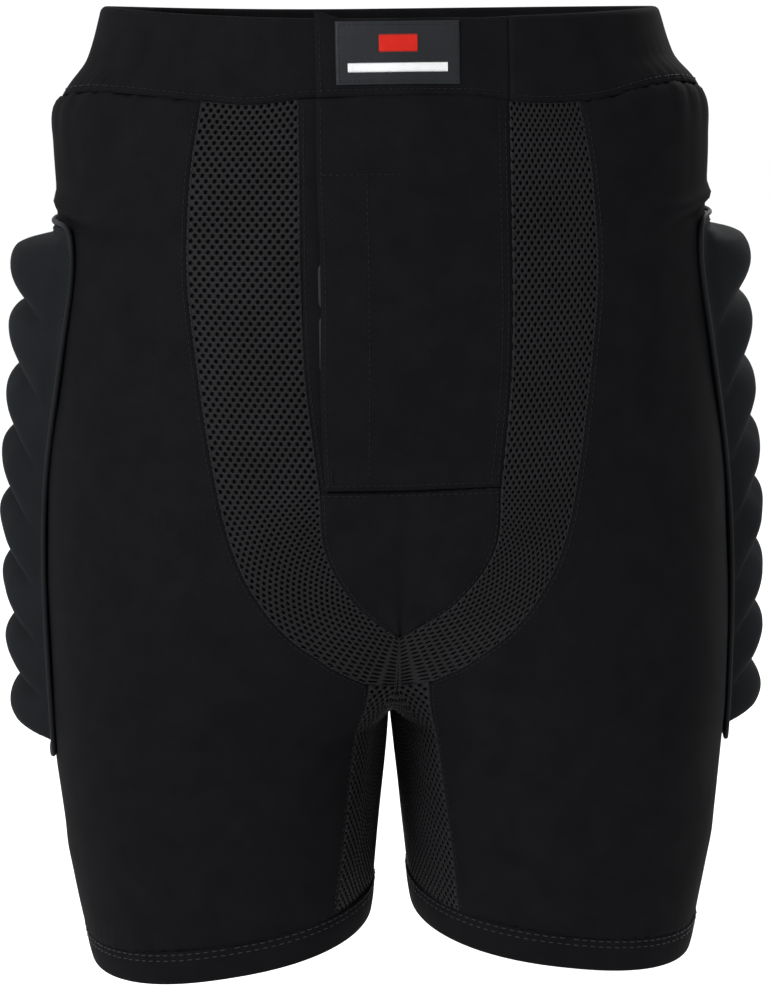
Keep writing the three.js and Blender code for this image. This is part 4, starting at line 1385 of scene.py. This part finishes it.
@dataclass
class Waistband:
    """The folded casing with gathered knit, the elastic inside it and the loop tape under the tab."""

    tailor: Tailor
    layer: float = 1.2
    depth: float = 4.5
    end_x: float = 14.0
    steps: int = 300
    elastic_width: float = 32.0
    allowance: float = 6.0  # inner layer below the seam, behind the panels

    def _angles(self, share: Array, from_top: Array) -> Array:
        """Angle round the trunk by share of the way, from the flap's sewn edge to the end under the tab."""
        f = self.tailor.form
        height = f.side_length - from_top
        return mix(f.turn_at(HINGE_X + 0.08, height), 360 + f.turn_at(self.end_x, height), share)

    def _gather(self, share: Array, from_top: Array) -> Array:
        """Gathers of the outer layer, which deepen towards the seam at the foot."""
        f = self.tailor.form
        run = share * 760
        depth = (from_top / f.band_height) ** 2.4
        fine = np.sin(run / 8.5 * 2 * math.pi + 2.2 * np.sin(run / 31))
        fine = fine * (0.35 + 0.65 * np.sin(run / 57) ** 2)
        crest = 0.35 * np.sin(run / 13 + 1.0) * np.clip(1 - from_top / 6, 0, 1)
        side_crease = -1.3 * bell(run - 640, 5.0) * np.sin(math.pi * np.clip(from_top / 40, 0, 1)) ** 0.6
        return (0.42 * depth * fine + crest + side_crease) * smooth(np.clip(share * 30, 0, 1))

    def build(self) -> None:
        """Makes the casing, the elastic and the loop tape."""
        t, f = self.tailor, self.tailor.form
        outer_r, inner_r = self.depth / 2, self.depth / 2 - self.layer
        bend = np.radians(np.linspace(0, 180, 9))
        drop = np.linspace(f.band_height, outer_r, 22)
        section = [(d, 0.0, 1.0) for d in drop]
        section += [(outer_r - outer_r * np.sin(a), -outer_r + outer_r * np.cos(a), 0.5) for a in bend[1:-1]]
        section += [(d, -self.depth, 0.0) for d in drop[::-2]]
        allowance = f.band_height + self.allowance
        section += [(allowance, -self.depth, 0.0), (allowance, -self.depth + self.layer, 0.0)]
        section += [(f.band_height, -self.depth + self.layer, 0.0)]
        inside = np.linspace(f.band_height - 1, outer_r, 9)
        section += [(d, -self.depth + self.layer, 0.0) for d in inside]
        section += [
            (outer_r - inner_r * np.sin(a), -outer_r - inner_r * np.cos(a), 0.4) for a in bend[2:-1:2]
        ]
        section += [(d, -self.layer, 1.0) for d in inside[::-1]]
        section += [(f.band_height, -self.layer, 1.0)]
        from_top = np.array([s[0] for s in section])[None]
        base = np.array([s[1] for s in section])[None]
        follow = np.array([s[2] for s in section])[None]
        share = np.linspace(0, 1, self.steps + 1)[:, None]
        bulge = 0.5 * np.sin(math.pi * np.clip(from_top / f.band_height, 0, 1)) ** 0.7
        level = base + follow * (self._gather(share, from_top) + bulge)
        level = np.where((follow > 0) & (base > -1), level - 0.5 * bell(from_top - f.band_height, 1.6), level)
        loops = f.band_point(self._angles(share, from_top), from_top, level)
        run = run_along(loops[:, 10])
        chart = np.stack(np.broadcast_arrays(run[:, None], from_top - 3 * base), -1)
        shape = Shape().add(loops, chart, sweep(loops, False))
        node = "waistband_casing"
        made = t.piece(shape, f"{node}_knit", t.finishes.knit, "shell", "knit_jersey", node)
        girth, folded = float(run[-1]) * MM, (2 * f.band_height + self.allowance) * MM
        LOG.info("%s: flat %.3f x %.3f m", made.name, girth, folded)
        self._elastic()
        self._thread()
        self._loop_tape()

    def _elastic(self) -> None:
        """The corded elastic inside the casing."""
        t, f = self.tailor, self.tailor.form
        top = (f.band_height - self.elastic_width) / 2
        drop = np.linspace(top, top + self.elastic_width, 65)
        share = np.linspace(1 / 36, 35 / 36, 181)
        s, d = np.meshgrid(share, drop, indexing="ij")
        cords = 0.18 * np.cos((d - top) * 2 * math.pi / 2.0)
        faces = [f.band_point(self._angles(s, d), d, level) for level in (cords - 1.72, -2.78 - cords)]
        face = Surface(faces[0], faces[0] * np.array([1, 1, 0]))
        shape, node = Shape().add_layers(*faces, face.chart()), "waistband_elastic"
        made = t.piece(shape, f"{node}_webbing", t.finishes.elastic, "shell", "elastic_webbing", node)
        t.declare(made, face, "stretched", ["waistband_casing"])

    def _thread(self) -> None:
        """One row of stitches above the band's foot."""
        t, f = self.tailor, self.tailor.form
        thread = Shape()
        share = np.linspace(0.003, 0.997, 900)
        down = np.full_like(share, f.band_height - 3.2)
        level = self._gather(share, down) + 0.2
        angle = self._angles(share, down)
        path = f.band_point(angle, down, level)
        normals = unit(path - f.band_point(angle, down, level - 1.0))
        Stitch(2.4, 1.0, 0.22, 0.2).sew(thread, (path, normals))
        t.piece(thread, "waistband_foot_thread", t.finishes.thread, "shell")

    def _loop_tape(self) -> None:
        """The napped tape that the tab closes on."""
        t, f = self.tailor, self.tailor.form

        def place(u: Array, v: Array, level: Array) -> Array:
            """Points of the tape."""
            return band_patch(f, mix(*TAPE_X, u), mix(f.band_height - TAPE_INSET, TAPE_INSET, v), 1.2 + level)

        shape, surface = t.cloth(place, 18, 30, 0.7, None, 0.0, (), 0.2)
        nap(shape, surface, 1.1, 0.35, 5)
        node = "waist_loop_tape"
        made = t.piece(shape, f"{node}_nap", t.finishes.loop, "shell", "hook_and_loop", node)
        t.declare(made, surface, "laid", ["waistband_casing"])


def band_patch(form: BodyForm, x: Array, from_top: Array, level: Array) -> Array:
    """Points on the front of the waistband by x, at a distance down from its edge."""
    x, from_top, level = np.broadcast_arrays(x, from_top, level)
    return form.to_band(form.front_skin(x, form.side_length - from_top, level), from_top)


def nap(
    shape: Shape, surface: Surface, pitch: float, tall: float, seed: int, hooked: bool = False,
) -> None:
    """Adds rows of tiny hooks, or a nap of loops, to a tape.

    Args:
        shape: The tape's shape, which the threads join.
        surface: Its outer face.
        pitch: Distance between threads in mm.
        tall: Height of a thread in mm.
        seed: Seed of the nap's unevenness.
        hooked: True for hooks in straight rows.
    """
    rng = np.random.default_rng(seed)
    columns, rows = surface.points.shape[:2]
    wide, long = surface.distance[Edge.START][-1].mean(), surface.distance[Edge.FOOT][:, -1].mean()
    i, j = np.meshgrid(
        np.linspace(1, columns - 2, max(int(wide / pitch), 2)),
        np.linspace(1, rows - 2, max(int(long / pitch), 2)), indexing="ij",
    )
    i, j = i.ravel(), j.ravel()
    if not hooked:
        i, j = i + rng.uniform(-0.5, 0.5, i.size), j + rng.uniform(-0.5, 0.5, j.size)
    root, up = surface.sample(i, j)
    ahead = unit(surface.sample(i, j + 0.6)[0] - surface.sample(i, j - 0.6)[0])
    if not hooked:
        spin = rng.uniform(0, 2 * math.pi, i.size)[:, None]
        ahead = unit(ahead * np.cos(spin) + np.cross(up, ahead) * np.sin(spin))
    side = np.cross(up, ahead)
    arc = np.radians([0, 50, 100, 150])
    reach = tall * 0.6
    centre = (
        root[:, None] + up[:, None] * (np.sin(arc) * tall - 0.12)[:, None]
        + ahead[:, None] * ((1 - np.cos(arc)) * reach)[:, None]
    )
    out = unit(centre - (root + ahead * reach)[:, None])
    shape.add_threads(centre, side[:, None], out, NAP_RADIUS, root[:, None, None, :2], 4)


@dataclass
class Closure:
    """The tab, label and fly flap that peel open together, and what lies under them on the shell."""

    tailor: Tailor
    seams: SeamPlan
    free_x: float = -34.0
    underlap_end: float = 14.0
    peek_foot: float = 304.0  # heights of the tape's edge that shows past the flap, and of the gap in it
    peek_top: float = 358.0
    peek_gap: float = 334.0
    bar_height: float = 395.0  # of the stitched line across the flap
    tape: float = 0.7
    tape_gap: float = 0.5
    flap: float = 1.5
    tab: float = 2.5
    label_width: float = 55.0
    fine: Stitch = Stitch(2.2, 0.9, 0.22, 0.2)

    def __post_init__(self) -> None:
        """Works out how high the flap and the tab stand at their free edges."""
        self.stack = 2 * (self.tape_gap + self.tape) + 0.3

    def _rise(self, x: Array) -> Array:
        """How far the flap has risen off the shell, from 0 at its sewn edge to 1."""
        return smooth(np.clip((HINGE_X - x) / (HINGE_X + 5), 0, 1))

    def build(self) -> None:
        """Makes the underlap, tapes, flap, tab and label."""
        self._underlap()
        self._fly_tapes()
        self._flap()
        self._tab()
        self._tab_tape()
        self._label()

    def _underlap(self) -> None:
        """The strip of knit beside and under the flap's free edge."""
        t, f = self.tailor, self.tailor.form

        def place(u: Array, v: Array, level: Array) -> Array:
            """Points of the underlap."""
            height = mix(f.fly_foot + f.seam_gap, f.panel_top, v)
            x = mix(GAP / 2 - self.seams.underlap_seam(height), self.underlap_end, u)
            return f.front_skin(x, height, level)

        shape, surface = t.cloth(place, 28, 70, 2.0, lambda u, v, base: 0.3 * t.drape.ripple(base), 0.15)
        made = t.piece(shape, "fly_underlap_knit", t.finishes.knit, "shell", "knit_jersey", "fly_underlap")
        t.declare(made, surface, "stretched", ["front_mesh_right", "crotch_panel"])
        thread = Shape()
        Stitch(2.2, 0.9, 0.24, 0.2).sew(thread, surface.beside(Edge.START, 2.0, 0.01, 0.99))
        t.piece(thread, "fly_underlap_thread", t.finishes.thread, "shell")

    def _fly_tapes(self) -> None:
        """Loop tape on the underlap and hook tape behind the flap's free edge."""
        t, f = self.tailor, self.tailor.form
        low, high = f.fly_foot + 8, f.panel_top - 8

        def loop(u: Array, v: Array, level: Array) -> Array:
            """Points of the loop tape."""
            return f.front_skin(mix(*TAPE_X, u), mix(low, high, v), 1.2 + level)

        shape, surface = t.cloth(loop, 18, 100, self.tape, None, 0.0, (), 0.15)
        nap(shape, surface, 1.25, 0.25, 6)
        made = t.piece(shape, "fly_loop_tape_nap", t.finishes.loop, "shell", "hook_and_loop", "fly_loop_tape")
        t.declare(made, surface, "laid", ["fly_underlap"])

        def hook(u: Array, v: Array, level: Array) -> Array:
            """Points of the hook tape. A pale selvedge shows past the flap for part of its height."""
            height = mix(low, high, v)
            above, below = (height - self.peek_foot) / 5, (self.peek_top - height) / 5
            peek = smooth(np.clip(above, 0, 1)) * smooth(np.clip(below, 0, 1))
            notch = 1 - bell(height - self.peek_gap, 2.4)
            x = mix(TAPE_X[0] - 1.5 - 2.3 * peek * notch, TAPE_X[1], u)
            top = (self.stack + self.flap) * self._rise(x) - self.flap - self.tape_gap
            return f.front_skin(x, height, top + level)

        shape, surface = t.cloth(hook, 26, 120, self.tape, None, 0.0, (), 0.1)
        node = "fly_hook_tape"
        made = t.piece(shape, f"{node}_nylon", t.finishes.hook, "front_closure", "hook_and_loop", node)
        t.declare(made, surface, "laid", ["fly_flap"])

    def _flap(self) -> None:
        """The fly flap with its top stitching and bar tacks."""
        t, f = self.tailor, self.tailor.form

        def place(u: Array, v: Array, level: Array) -> Array:
            """Points of the flap."""
            height = mix(f.fly_foot + 0.3, f.panel_top, v)
            wavy = 0.5 * np.sin(height / 17) * (1 - u) ** 6
            x = mix(self.free_x + wavy, self.seams.fly_seam(height) - GAP / 2, u)
            flat = 0.5 + 0.5 * smooth(np.clip(v / 0.1, 0, 1))
            return f.front_skin(x, height, (self.stack + self.flap) * self._rise(x) * flat + level)

        def wrinkle(u: Array, v: Array, base: Array) -> Array:
            """Slow folds, with the outline of the tape pressed through."""
            tape = 0.22 * bell((base[..., 0] + 13), 3.0) * np.clip(8 * v * (1 - v), 0, 1)
            return t.drape.ripple(base) * 0.8 + tape

        sewn = (Edge.END, Edge.FOOT, Edge.TOP)
        shape, surface = t.cloth(place, 46, 90, self.flap, wrinkle, 0.16, sewn, 0.5)
        made = t.piece(shape, "fly_flap_knit", t.finishes.knit, "front_closure", "knit_jersey", "fly_flap")
        t.declare(made, surface, "laid", ["fly_underlap", "closure_tab"])
        thread = Shape()
        for edge, inset in ((Edge.START, 2.2), (Edge.END, 2.2), (Edge.END, 5.0), (Edge.FOOT, 2.4)):
            self.fine.sew(thread, surface.beside(edge, inset, 0.015, 0.985))
        rows = surface.points.shape[1] - 1
        across = np.linspace(1, 20, 60)
        bar_row = rows * (self.bar_height - f.fly_foot) / (f.panel_top - f.fly_foot)
        self.fine.sew(thread, surface.sample(across, np.full(60, bar_row)))
        self.fine.sew(thread, surface.sample(np.full(160, 11.5), np.linspace(3, bar_row, 160)))
        t.piece(thread, "fly_flap_thread", t.finishes.thread, "front_closure")
        tack = Shape()
        for row, column in ((rows * 0.445, 45.0), (1.6, 2.0)):
            along = surface.sample(np.full(24, column), np.linspace(row, row + 3.2, 24))
            Stitch(0.5, 0.02, 0.2, 0.3, 0.9).sew(tack, along)
        t.piece(tack, "fly_bar_tacks", t.finishes.thread_grey, "front_closure")

    def _tab_level(self, x: Array) -> Array:
        """Level of the tab's outer face."""
        return (self.stack + self.tab) * self._rise(x)

    def _tab_place(self, u: Array, v: Array, level: Array) -> Array:
        """Points of the tab by share across and up. Its free corner stands a little proud of the waist."""
        f = self.tailor.form
        x = mix(self.free_x, HINGE_X - 0.08, u)
        from_top = mix(f.band_height, 0.0, v)
        p = band_patch(f, x, from_top, self._tab_level(x) + level)
        p[..., 2] += 3.2 * bell(x - self.free_x, 9.0) * v**3 + 0.4 * np.sin(x / 9.0) * v**4
        return p

    def _tab(self) -> None:
        """The tab of folded knit."""
        t = self.tailor

        def wrinkle(u: Array, v: Array, base: Array) -> Array:
            """A soft bulge over the elastic core."""
            free = 1 - u**4
            return 0.5 * np.sin(math.pi * v) ** 0.7 + free * (0.25 * np.sin(u * 19) * (1 - v) ** 3 - 0.25)

        rolled = (Edge.START, Edge.FOOT, Edge.TOP)
        shape, surface = t.cloth(self._tab_place, 60, 30, self.tab, wrinkle, 0.12, rolled, 0.8, rolled)
        node = "closure_tab"
        made = t.piece(shape, f"{node}_knit", t.finishes.knit, "front_closure", "knit_jersey", node)
        t.declare(made, surface, "laid", ["waistband_casing"])
        thread = Shape()
        self.fine.sew(thread, surface.beside(Edge.START, 2.4, 0.06, 0.94))
        self.fine.sew(thread, surface.beside(Edge.FOOT, 3.2, 0.02, 0.99))
        t.piece(thread, "closure_tab_thread", t.finishes.thread, "front_closure")
        tack = Shape()
        corner = surface.sample(np.full(24, 1.6), np.linspace(2.6, 5.4, 24))
        Stitch(0.5, 0.02, 0.24, 0.35, 1.1).sew(tack, corner)
        t.piece(tack, "closure_tab_bar_tack", t.finishes.thread_grey, "front_closure")

    def _tab_tape(self) -> None:
        """Hook tape behind the tab."""
        t, f = self.tailor, self.tailor.form

        def place(u: Array, v: Array, level: Array) -> Array:
            """Points of the tape, its hooks facing the shell."""
            x, from_top = mix(*TAPE_X, u), mix(f.band_height - TAPE_INSET, TAPE_INSET, v)
            top = self._tab_level(x) - self.tab - self.tape_gap
            return band_patch(f, x, from_top, top - self.tape - level)

        shape, surface = t.cloth(place, 18, 30, -self.tape, None, 0.0, (), 0.1)
        nap(shape, surface, 1.3, 0.22, 7, True)
        node = "tab_hook_tape"
        made = t.piece(shape, f"{node}_nylon", t.finishes.hook, "front_closure", "hook_and_loop", node)
        t.declare(made, surface, "laid", ["closure_tab"])

    def _label(self) -> None:
        """The woven label: a border of stitches and a plain woven motif of bars."""
        t, f = self.tailor, self.tailor.form

        def at(x: Array, from_top: Array, level: Array) -> Array:
            """Points over the tab by x and distance from the waist edge."""
            return band_patch(f, x, from_top, self._tab_level(x) + GAP + 0.5 + level)

        def place(u: Array, v: Array, level: Array) -> Array:
            """Points of the label."""
            half = self.label_width / 2
            return at(mix(2.5 - half, 2.5 + half, u), mix(33.9, 1.0, v), level + 0.3)

        def wrinkle(u: Array, v: Array, base: Array) -> Array:
            """Fine woven ridges and a slight bow."""
            return 0.25 * np.sin(math.pi * v) ** 0.7 + 0.035 * np.cos(v * 32 / 0.9 * 2 * math.pi)

        shape, surface = t.cloth(place, 60, 120, 0.8, wrinkle, 0.05, tuple(Edge), 0.25)
        node = "label_patch"
        made = t.piece(shape, f"{node}_damask", t.finishes.label, "front_closure", "woven_label", node)
        t.declare(made, surface, "laid", ["closure_tab"])
        thread = Shape()
        border = Stitch(1.5, 0.5, 0.2, 0.18)
        for edge in Edge:
            border.sew(thread, surface.beside(edge, 1.5, 0.03, 0.97))
        t.piece(thread, "label_border_thread", t.finishes.thread_grey, "front_closure")
        rows, columns = surface.points.shape[1] - 1, surface.points.shape[0] - 1
        for name, material, left, right, low, high in (
            ("label_bars_pale", t.finishes.label_pale, 0.1, 0.9, 0.2, 0.37),
            ("label_bar_red", t.finishes.label_red, 0.35, 0.65, 0.52, 0.82),
        ):
            satin = Shape()
            for u in np.arange(left, right, 0.0075):
                line = surface.sample(np.full(8, u * columns), np.linspace(low, high, 8) * rows)
                span = float(run_along(line[0])[-1])
                Stitch(span * 0.97, 0.02, 0.2, 0.14).sew(satin, line)
            t.piece(satin, name, material, "front_closure")


# ---------------------------------------------------------------- pads


@dataclass
class RibbedPad:
    """One pad: a ribbed foam core, a moulded cover with a flat sewn margin, and piping round its edge."""

    tailor: Tailor
    name: str
    place: Place
    ribs: int
    base: float
    rib: float
    droop: float
    columns: int
    rows: int
    bulk: Sequence[float] = (1.0, 1.04, 1.0)
    flange: float = 0.1
    end_flange: float = 0.035
    under: float = 0.7
    cover: float = 1.2
    cord: float = 1.25
    seed: int = 3

    def _foam_level(self, u: Array, v: Array) -> Array:
        """Height of the foam, with round lobes whose grooves droop towards both edges."""
        s = np.clip((u - self.flange) / (1 - 2 * self.flange), 0, 1)
        t = np.clip((v - self.end_flange) / (1 - 2 * self.end_flange), 0, 1)
        out = np.abs(2 * s - 1)
        settle = np.sin(math.pi * t) ** 0.6
        phase = np.clip(t * self.ribs + self.droop * out**1.6 * settle, 0, self.ribs - 1e-6)
        lobe = (np.sin(math.pi * (phase % 1)) ** 2 + 0.02) ** 0.29 * 1.13 - 0.14
        lobe = lobe - 0.24 * bell(phase - np.round(phase), 0.09)  # the cover pinches in at each groove
        across = np.maximum(np.sin(math.pi * s), 0) ** 0.5
        ends = np.clip(np.minimum(t, 1 - t) * self.ribs * 4.5, 0, 1) ** 0.5
        full = (self.base * ends + self.rib * lobe * (0.5 + 0.5 * across)) * even_curve(self.bulk)(t)
        return np.maximum(mix(0.4, full, across), 0.3)

    def _tension(self, u: Array, v: Array) -> Array:
        """Small creases in the cover that run along the grooves, and a slow unevenness."""
        rng = np.random.default_rng(self.seed)
        total = np.zeros_like(u)
        for _ in range(9):
            fu, fv, phase = rng.uniform(1, 3.2), rng.uniform(3, 11), rng.uniform(0, 6.28)
            total += np.sin(2 * math.pi * (u * fu + v * fv) + phase)
        return total * 0.07

    def _margin(self, u: Array, v: Array) -> Array:
        """Distance in from the nearest edge, in widths of the flat margin there."""
        ends = np.minimum(v, 1 - v) / self.end_flange
        return np.minimum(np.minimum(u, 1 - u) / self.flange, ends)

    def build(self, thread: Shape) -> None:
        """Makes the foam, the cover and the piping, and sews the margin.

        Args:
            thread: The stitching that all the pads share.
        """
        t = self.tailor
        u, v = share_grid(self.columns, self.rows)
        margin = self._margin(u, v)
        inside = smooth(np.clip(margin, 0, 1))
        lining = self.under + (self._foam_level(u, v) + GAP) * inside
        rolled = 0.35 * np.exp(-np.clip(margin, 0, 9) * 4)
        face_level = lining + self.cover + self._tension(u, v) * inside - rolled
        outer, inner = self.place(u, v, face_level), self.place(u, v, lining)
        surface = Surface(outer, self.place(u, v, face_level + 1) - outer)
        shape = Shape().add_layers(outer, inner, surface.chart())
        node = f"{self.name}_cover"
        cover = t.piece(shape, f"{node}_tricot", t.finishes.cover, "shell", "pad_cover_knit", node)
        core_u = np.linspace(self.flange * 1.25, 1 - self.flange * 1.25, self.columns // 2 + 1)
        core_v = np.linspace(self.end_flange * 1.4, 1 - self.end_flange * 1.4, self.rows // 2 + 1)
        u, v = np.meshgrid(core_u, core_v, indexing="ij")
        top = np.maximum(self._foam_level(u, v) - 0.5, 0.4) - 0.2
        top = np.maximum(top * smooth(np.clip(self._margin(u, v), 0, 1)), 0.3) + self.under
        foot = self.place(u, v, np.full_like(u, self.under))
        foam = Shape().add_layers(self.place(u, v, top), foot, np.stack([u * 90, v * 260], -1))
        node = f"{self.name}_foam"
        core = t.piece(foam, f"{node}_core", t.finishes.foam, "shell", "pad_foam", node)
        self._piping()
        for edge in Edge:
            Stitch(2.0, 0.8, 0.2, 0.18).sew(thread, surface.beside(edge, 2.6, 0.03, 0.97))

    def _piping(self) -> None:
        """A cord in bias-cut jersey round the pad, just outside its margin."""
        t = self.tailor
        wide, long = 40, 160
        run, short = np.arange(long) / long, np.arange(wide) / wide
        u = np.concatenate([short, np.ones(long), 1 - short, np.zeros(long)])
        v = np.concatenate([np.zeros(wide), run, np.ones(wide), 1 - run])
        path = self.place(u, v, np.full_like(u, self.under + self.cover + 0.1))
        normal = unit(self.place(u, v, np.full_like(u, 3.0)) - self.place(u, v, np.full_like(u, 1.0)))
        for _ in range(10):
            path = (np.roll(path, 1, 0) + 2 * path + np.roll(path, -1, 0)) / 4
        tangent = unit(np.roll(path, -1, 0) - np.roll(path, 1, 0))
        away = unit(np.cross(tangent, normal))
        away = away * np.sign((away * (path - path.mean(0))).sum(-1).mean())
        loops = tube_loops(path + away * (self.cord + 0.15), normal, self.cord, 10)
        chart = np.stack(np.broadcast_arrays(run_along(path)[:, None], np.linspace(0, 8, 10)), -1)
        shape = Shape().add(loops, chart, sweep(loops, True))
        node = f"{self.name}_piping"
        t.piece(shape, f"{node}_cord", t.finishes.piping, "shell", "piping", node)


@dataclass
class PadSet:
    """The hip, seat and tailbone pads at their places on the form."""

    tailor: Tailor

    @staticmethod
    def _cornered(v: Array) -> Array:
        """Narrows a pad at both ends, so that its corners are cut off."""
        return 1 - 0.22 * np.abs(2 * v - 1) ** 8

    def _side_pad(self, side: int, drop: float, length: float, front: Sequence, back: Sequence) -> Place:
        """Places a pad on one side of the body.

        Args:
            side: 1 for the wearer's left and -1 for the right.
            drop: From the waistband seam down to the pad's top.
            length: The pad's length.
            front: Turns of its front edge from foot to top.
            back: Turns of its back edge.

        Returns:
            A function that gives points from u, v and a level.
        """
        f = self.tailor.form
        top = f.panel_top - drop
        front_turn, back_turn = even_curve(front), even_curve(back)

        def place(u: Array, v: Array, level: Array) -> Array:
            """Points of the pad."""
            across = mix(0.5, u, self._cornered(v))
            turn = mix(front_turn(v), back_turn(v), across)
            return f.skin(side, turn, mix(top - length, top, v), level)

        return place

    def _tail_place(self, drop: float, length: float, half: Sequence) -> Place:
        """Places the tailbone pad across the middle of the back."""
        f = self.tailor.form
        top = f.panel_top - drop
        spread = even_curve(half)

        def place(u: Array, v: Array, level: Array) -> Array:
            """Points of the pad."""
            angle = 180 + (2 * u - 1) * spread(v) * self._cornered(v)
            return f.trunk_skin(angle, mix(top - length, top, v), level)

        return place

    def build(self) -> None:
        """Makes all five pads."""
        t = self.tailor
        thread = Shape()
        for side, word in ((1, "left"), (-1, "right")):
            hip = self._side_pad(side, 60, 258, (71, 75, 78, 71, 63), (112, 117, 121, 123, 122))
            RibbedPad(
                t, f"hip_pad_{word}", hip, 8, 7.2, 12.6, 0.8, 64, 232,
                (1.0, 1.06, 1.22, 1.08, 1.12), 0.09, 0.022,
            ).build(thread)
            seat = self._side_pad(side, 102, 138, (137, 135, 134, 135, 137), (160, 163, 164, 163, 161))
            RibbedPad(t, f"seat_pad_{word}", seat, 4, 5.5, 7.5, 0.4, 48, 100, seed=4).build(thread)
        tail = self._tail_place(28, 128, (8, 11, 14, 17, 17))
        RibbedPad(t, "tailbone_pad", tail, 4, 4.6, 6.4, 0.4, 48, 96, seed=5).build(thread)
        t.piece(thread, "pad_margin_thread", t.finishes.thread, "shell")


# ---------------------------------------------------------------- studio


@dataclass
class Studio:
    """A pale floor, a soft studio and a camera at the front, a little above the waist."""

    azimuth: float = -2.97
    distance: float = 1.348
    height: float = 0.004
    pitch: float = 10.26
    roll: float = -0.7
    half_view: float = 0.2443
    floor_drop: float = 0.16

    def build(self) -> None:
        """Makes the floor, the lights, the world and the camera."""
        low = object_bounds()[0]
        self._floor(low.z - self.floor_drop)
        self._world()
        self._lamp("key_softbox", (-0.95, -1.05, 0.62), 0.6, 27.0)
        self._lamp("back_softbox", (1.1, 1.3, 0.9), 1.0, 22.0)
        self._camera()
        scene = bpy.context.scene
        scene.view_settings.view_transform = "Standard"
        scene.view_settings.look = "None"

    def _floor(self, level: float) -> None:
        """A wide round floor."""
        rings, spokes = 24, 96
        radius = np.concatenate([[0.0], np.geomspace(0.08, 14.0, rings)])
        angle = spokes_of(spokes)
        points = np.stack([
            radius[:, None] * np.cos(angle), radius[:, None] * np.sin(angle),
            np.full((rings + 1, spokes), level),
        ], -1).reshape(-1, 3)
        k = np.arange(points.shape[0]).reshape(rings + 1, spokes)
        turned = np.roll(k, -1, axis=1)
        faces = quads(k[1:-1], k[2:], turned[2:], turned[1:-1]).tolist() + [k[1].tolist()]
        mesh = bpy.data.meshes.new("studio_floor")
        mesh.from_pydata(points.tolist(), [], faces)
        material = bpy.data.materials.new("floor_matt_white_paint")
        material.use_nodes = True
        tree = material.node_tree
        tree.nodes.clear()
        grain = add_node(tree, "ShaderNodeTexNoise", {"Scale": 9.0, "Detail": 3.0}).outputs["Fac"]
        ramp = add_node(tree, "ShaderNodeValToRGB", {}, Fac=grain)
        for end, code in zip(ramp.color_ramp.elements, ("fafafa", "fefefe")):
            end.color = linear(code)
        shader = add_node(
            tree, "ShaderNodeBsdfPrincipled", {"Roughness": 0.9, "Specular IOR Level": 0.1},
            Base_Color=ramp.outputs["Color"],
        )
        add_node(tree, "ShaderNodeOutputMaterial", {}, Surface=shader.outputs["BSDF"])
        mesh.materials.append(material)
        floor = bpy.data.objects.new("studio_floor", mesh)
        bpy.context.scene.collection.objects.link(floor)
        floor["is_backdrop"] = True

    def _world(self) -> None:
        """An even white surround."""
        world = bpy.data.worlds.new("studio_surround")
        world.use_nodes = True
        background = world.node_tree.nodes["Background"]
        background.inputs["Color"].default_value = linear("ffffff")
        background.inputs["Strength"].default_value = 1.04
        bpy.context.scene.world = world

    def _lamp(self, name: str, place: tuple[float, float, float], size: float, power: float) -> None:
        """A square softbox that faces the hips."""
        data = bpy.data.lights.new(name, "AREA")
        data.size, data.energy = size, power
        lamp = bpy.data.objects.new(name, data)
        lamp.location = place
        lamp.rotation_euler = (Vector((0, 0, -0.2)) - Vector(place)).to_track_quat("-Z", "Y").to_euler()
        bpy.context.scene.collection.objects.link(lamp)

    def _camera(self) -> None:
        """The camera, which looks down a little from in front."""
        data = bpy.data.cameras.new("studio_camera")
        camera = bpy.data.objects.new("studio_camera", data)
        data.sensor_fit = "VERTICAL"
        data.sensor_width = data.sensor_height = 36.0
        data.lens = 18.0 * self.distance / self.half_view
        turn, tilt = math.radians(self.azimuth), math.radians(self.pitch)
        forward = Vector((-math.sin(turn) * math.cos(tilt), math.cos(turn) * math.cos(tilt), -math.sin(tilt)))
        camera.location = (self.distance * math.sin(turn), -self.distance * math.cos(turn), self.height)
        aim = forward.to_track_quat("-Z", "Y") @ Quaternion((0, 0, 1), math.radians(self.roll))
        camera.rotation_euler = aim.to_euler()
        bpy.context.scene.collection.objects.link(camera)
        bpy.context.scene.camera = camera


def main() -> None:
    """Builds the shorts in order, then the studio."""
    logging.basicConfig(level=logging.INFO, format="%(name)s %(message)s")
    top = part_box("waistband_casing")[1].z
    foot = min(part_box(f"hem_band_{word}")[0].z for word in ("left", "right"))
    form = BodyForm(side_length=(top - foot) / MM + WORN_LONGER)
    tailor = Tailor(form, Finishes(), Drape())
    seams = SeamPlan(form)
    for part in (
        ShellPanels(tailor, seams), MeshInserts(tailor, seams), Hems(tailor), Waistband(tailor),
        Closure(tailor, seams), PadSet(tailor),
    ):
        part.build()
        LOG.info("built %s", type(part).__name__)
    Studio().build()


if __name__ == "__main__":
    main()
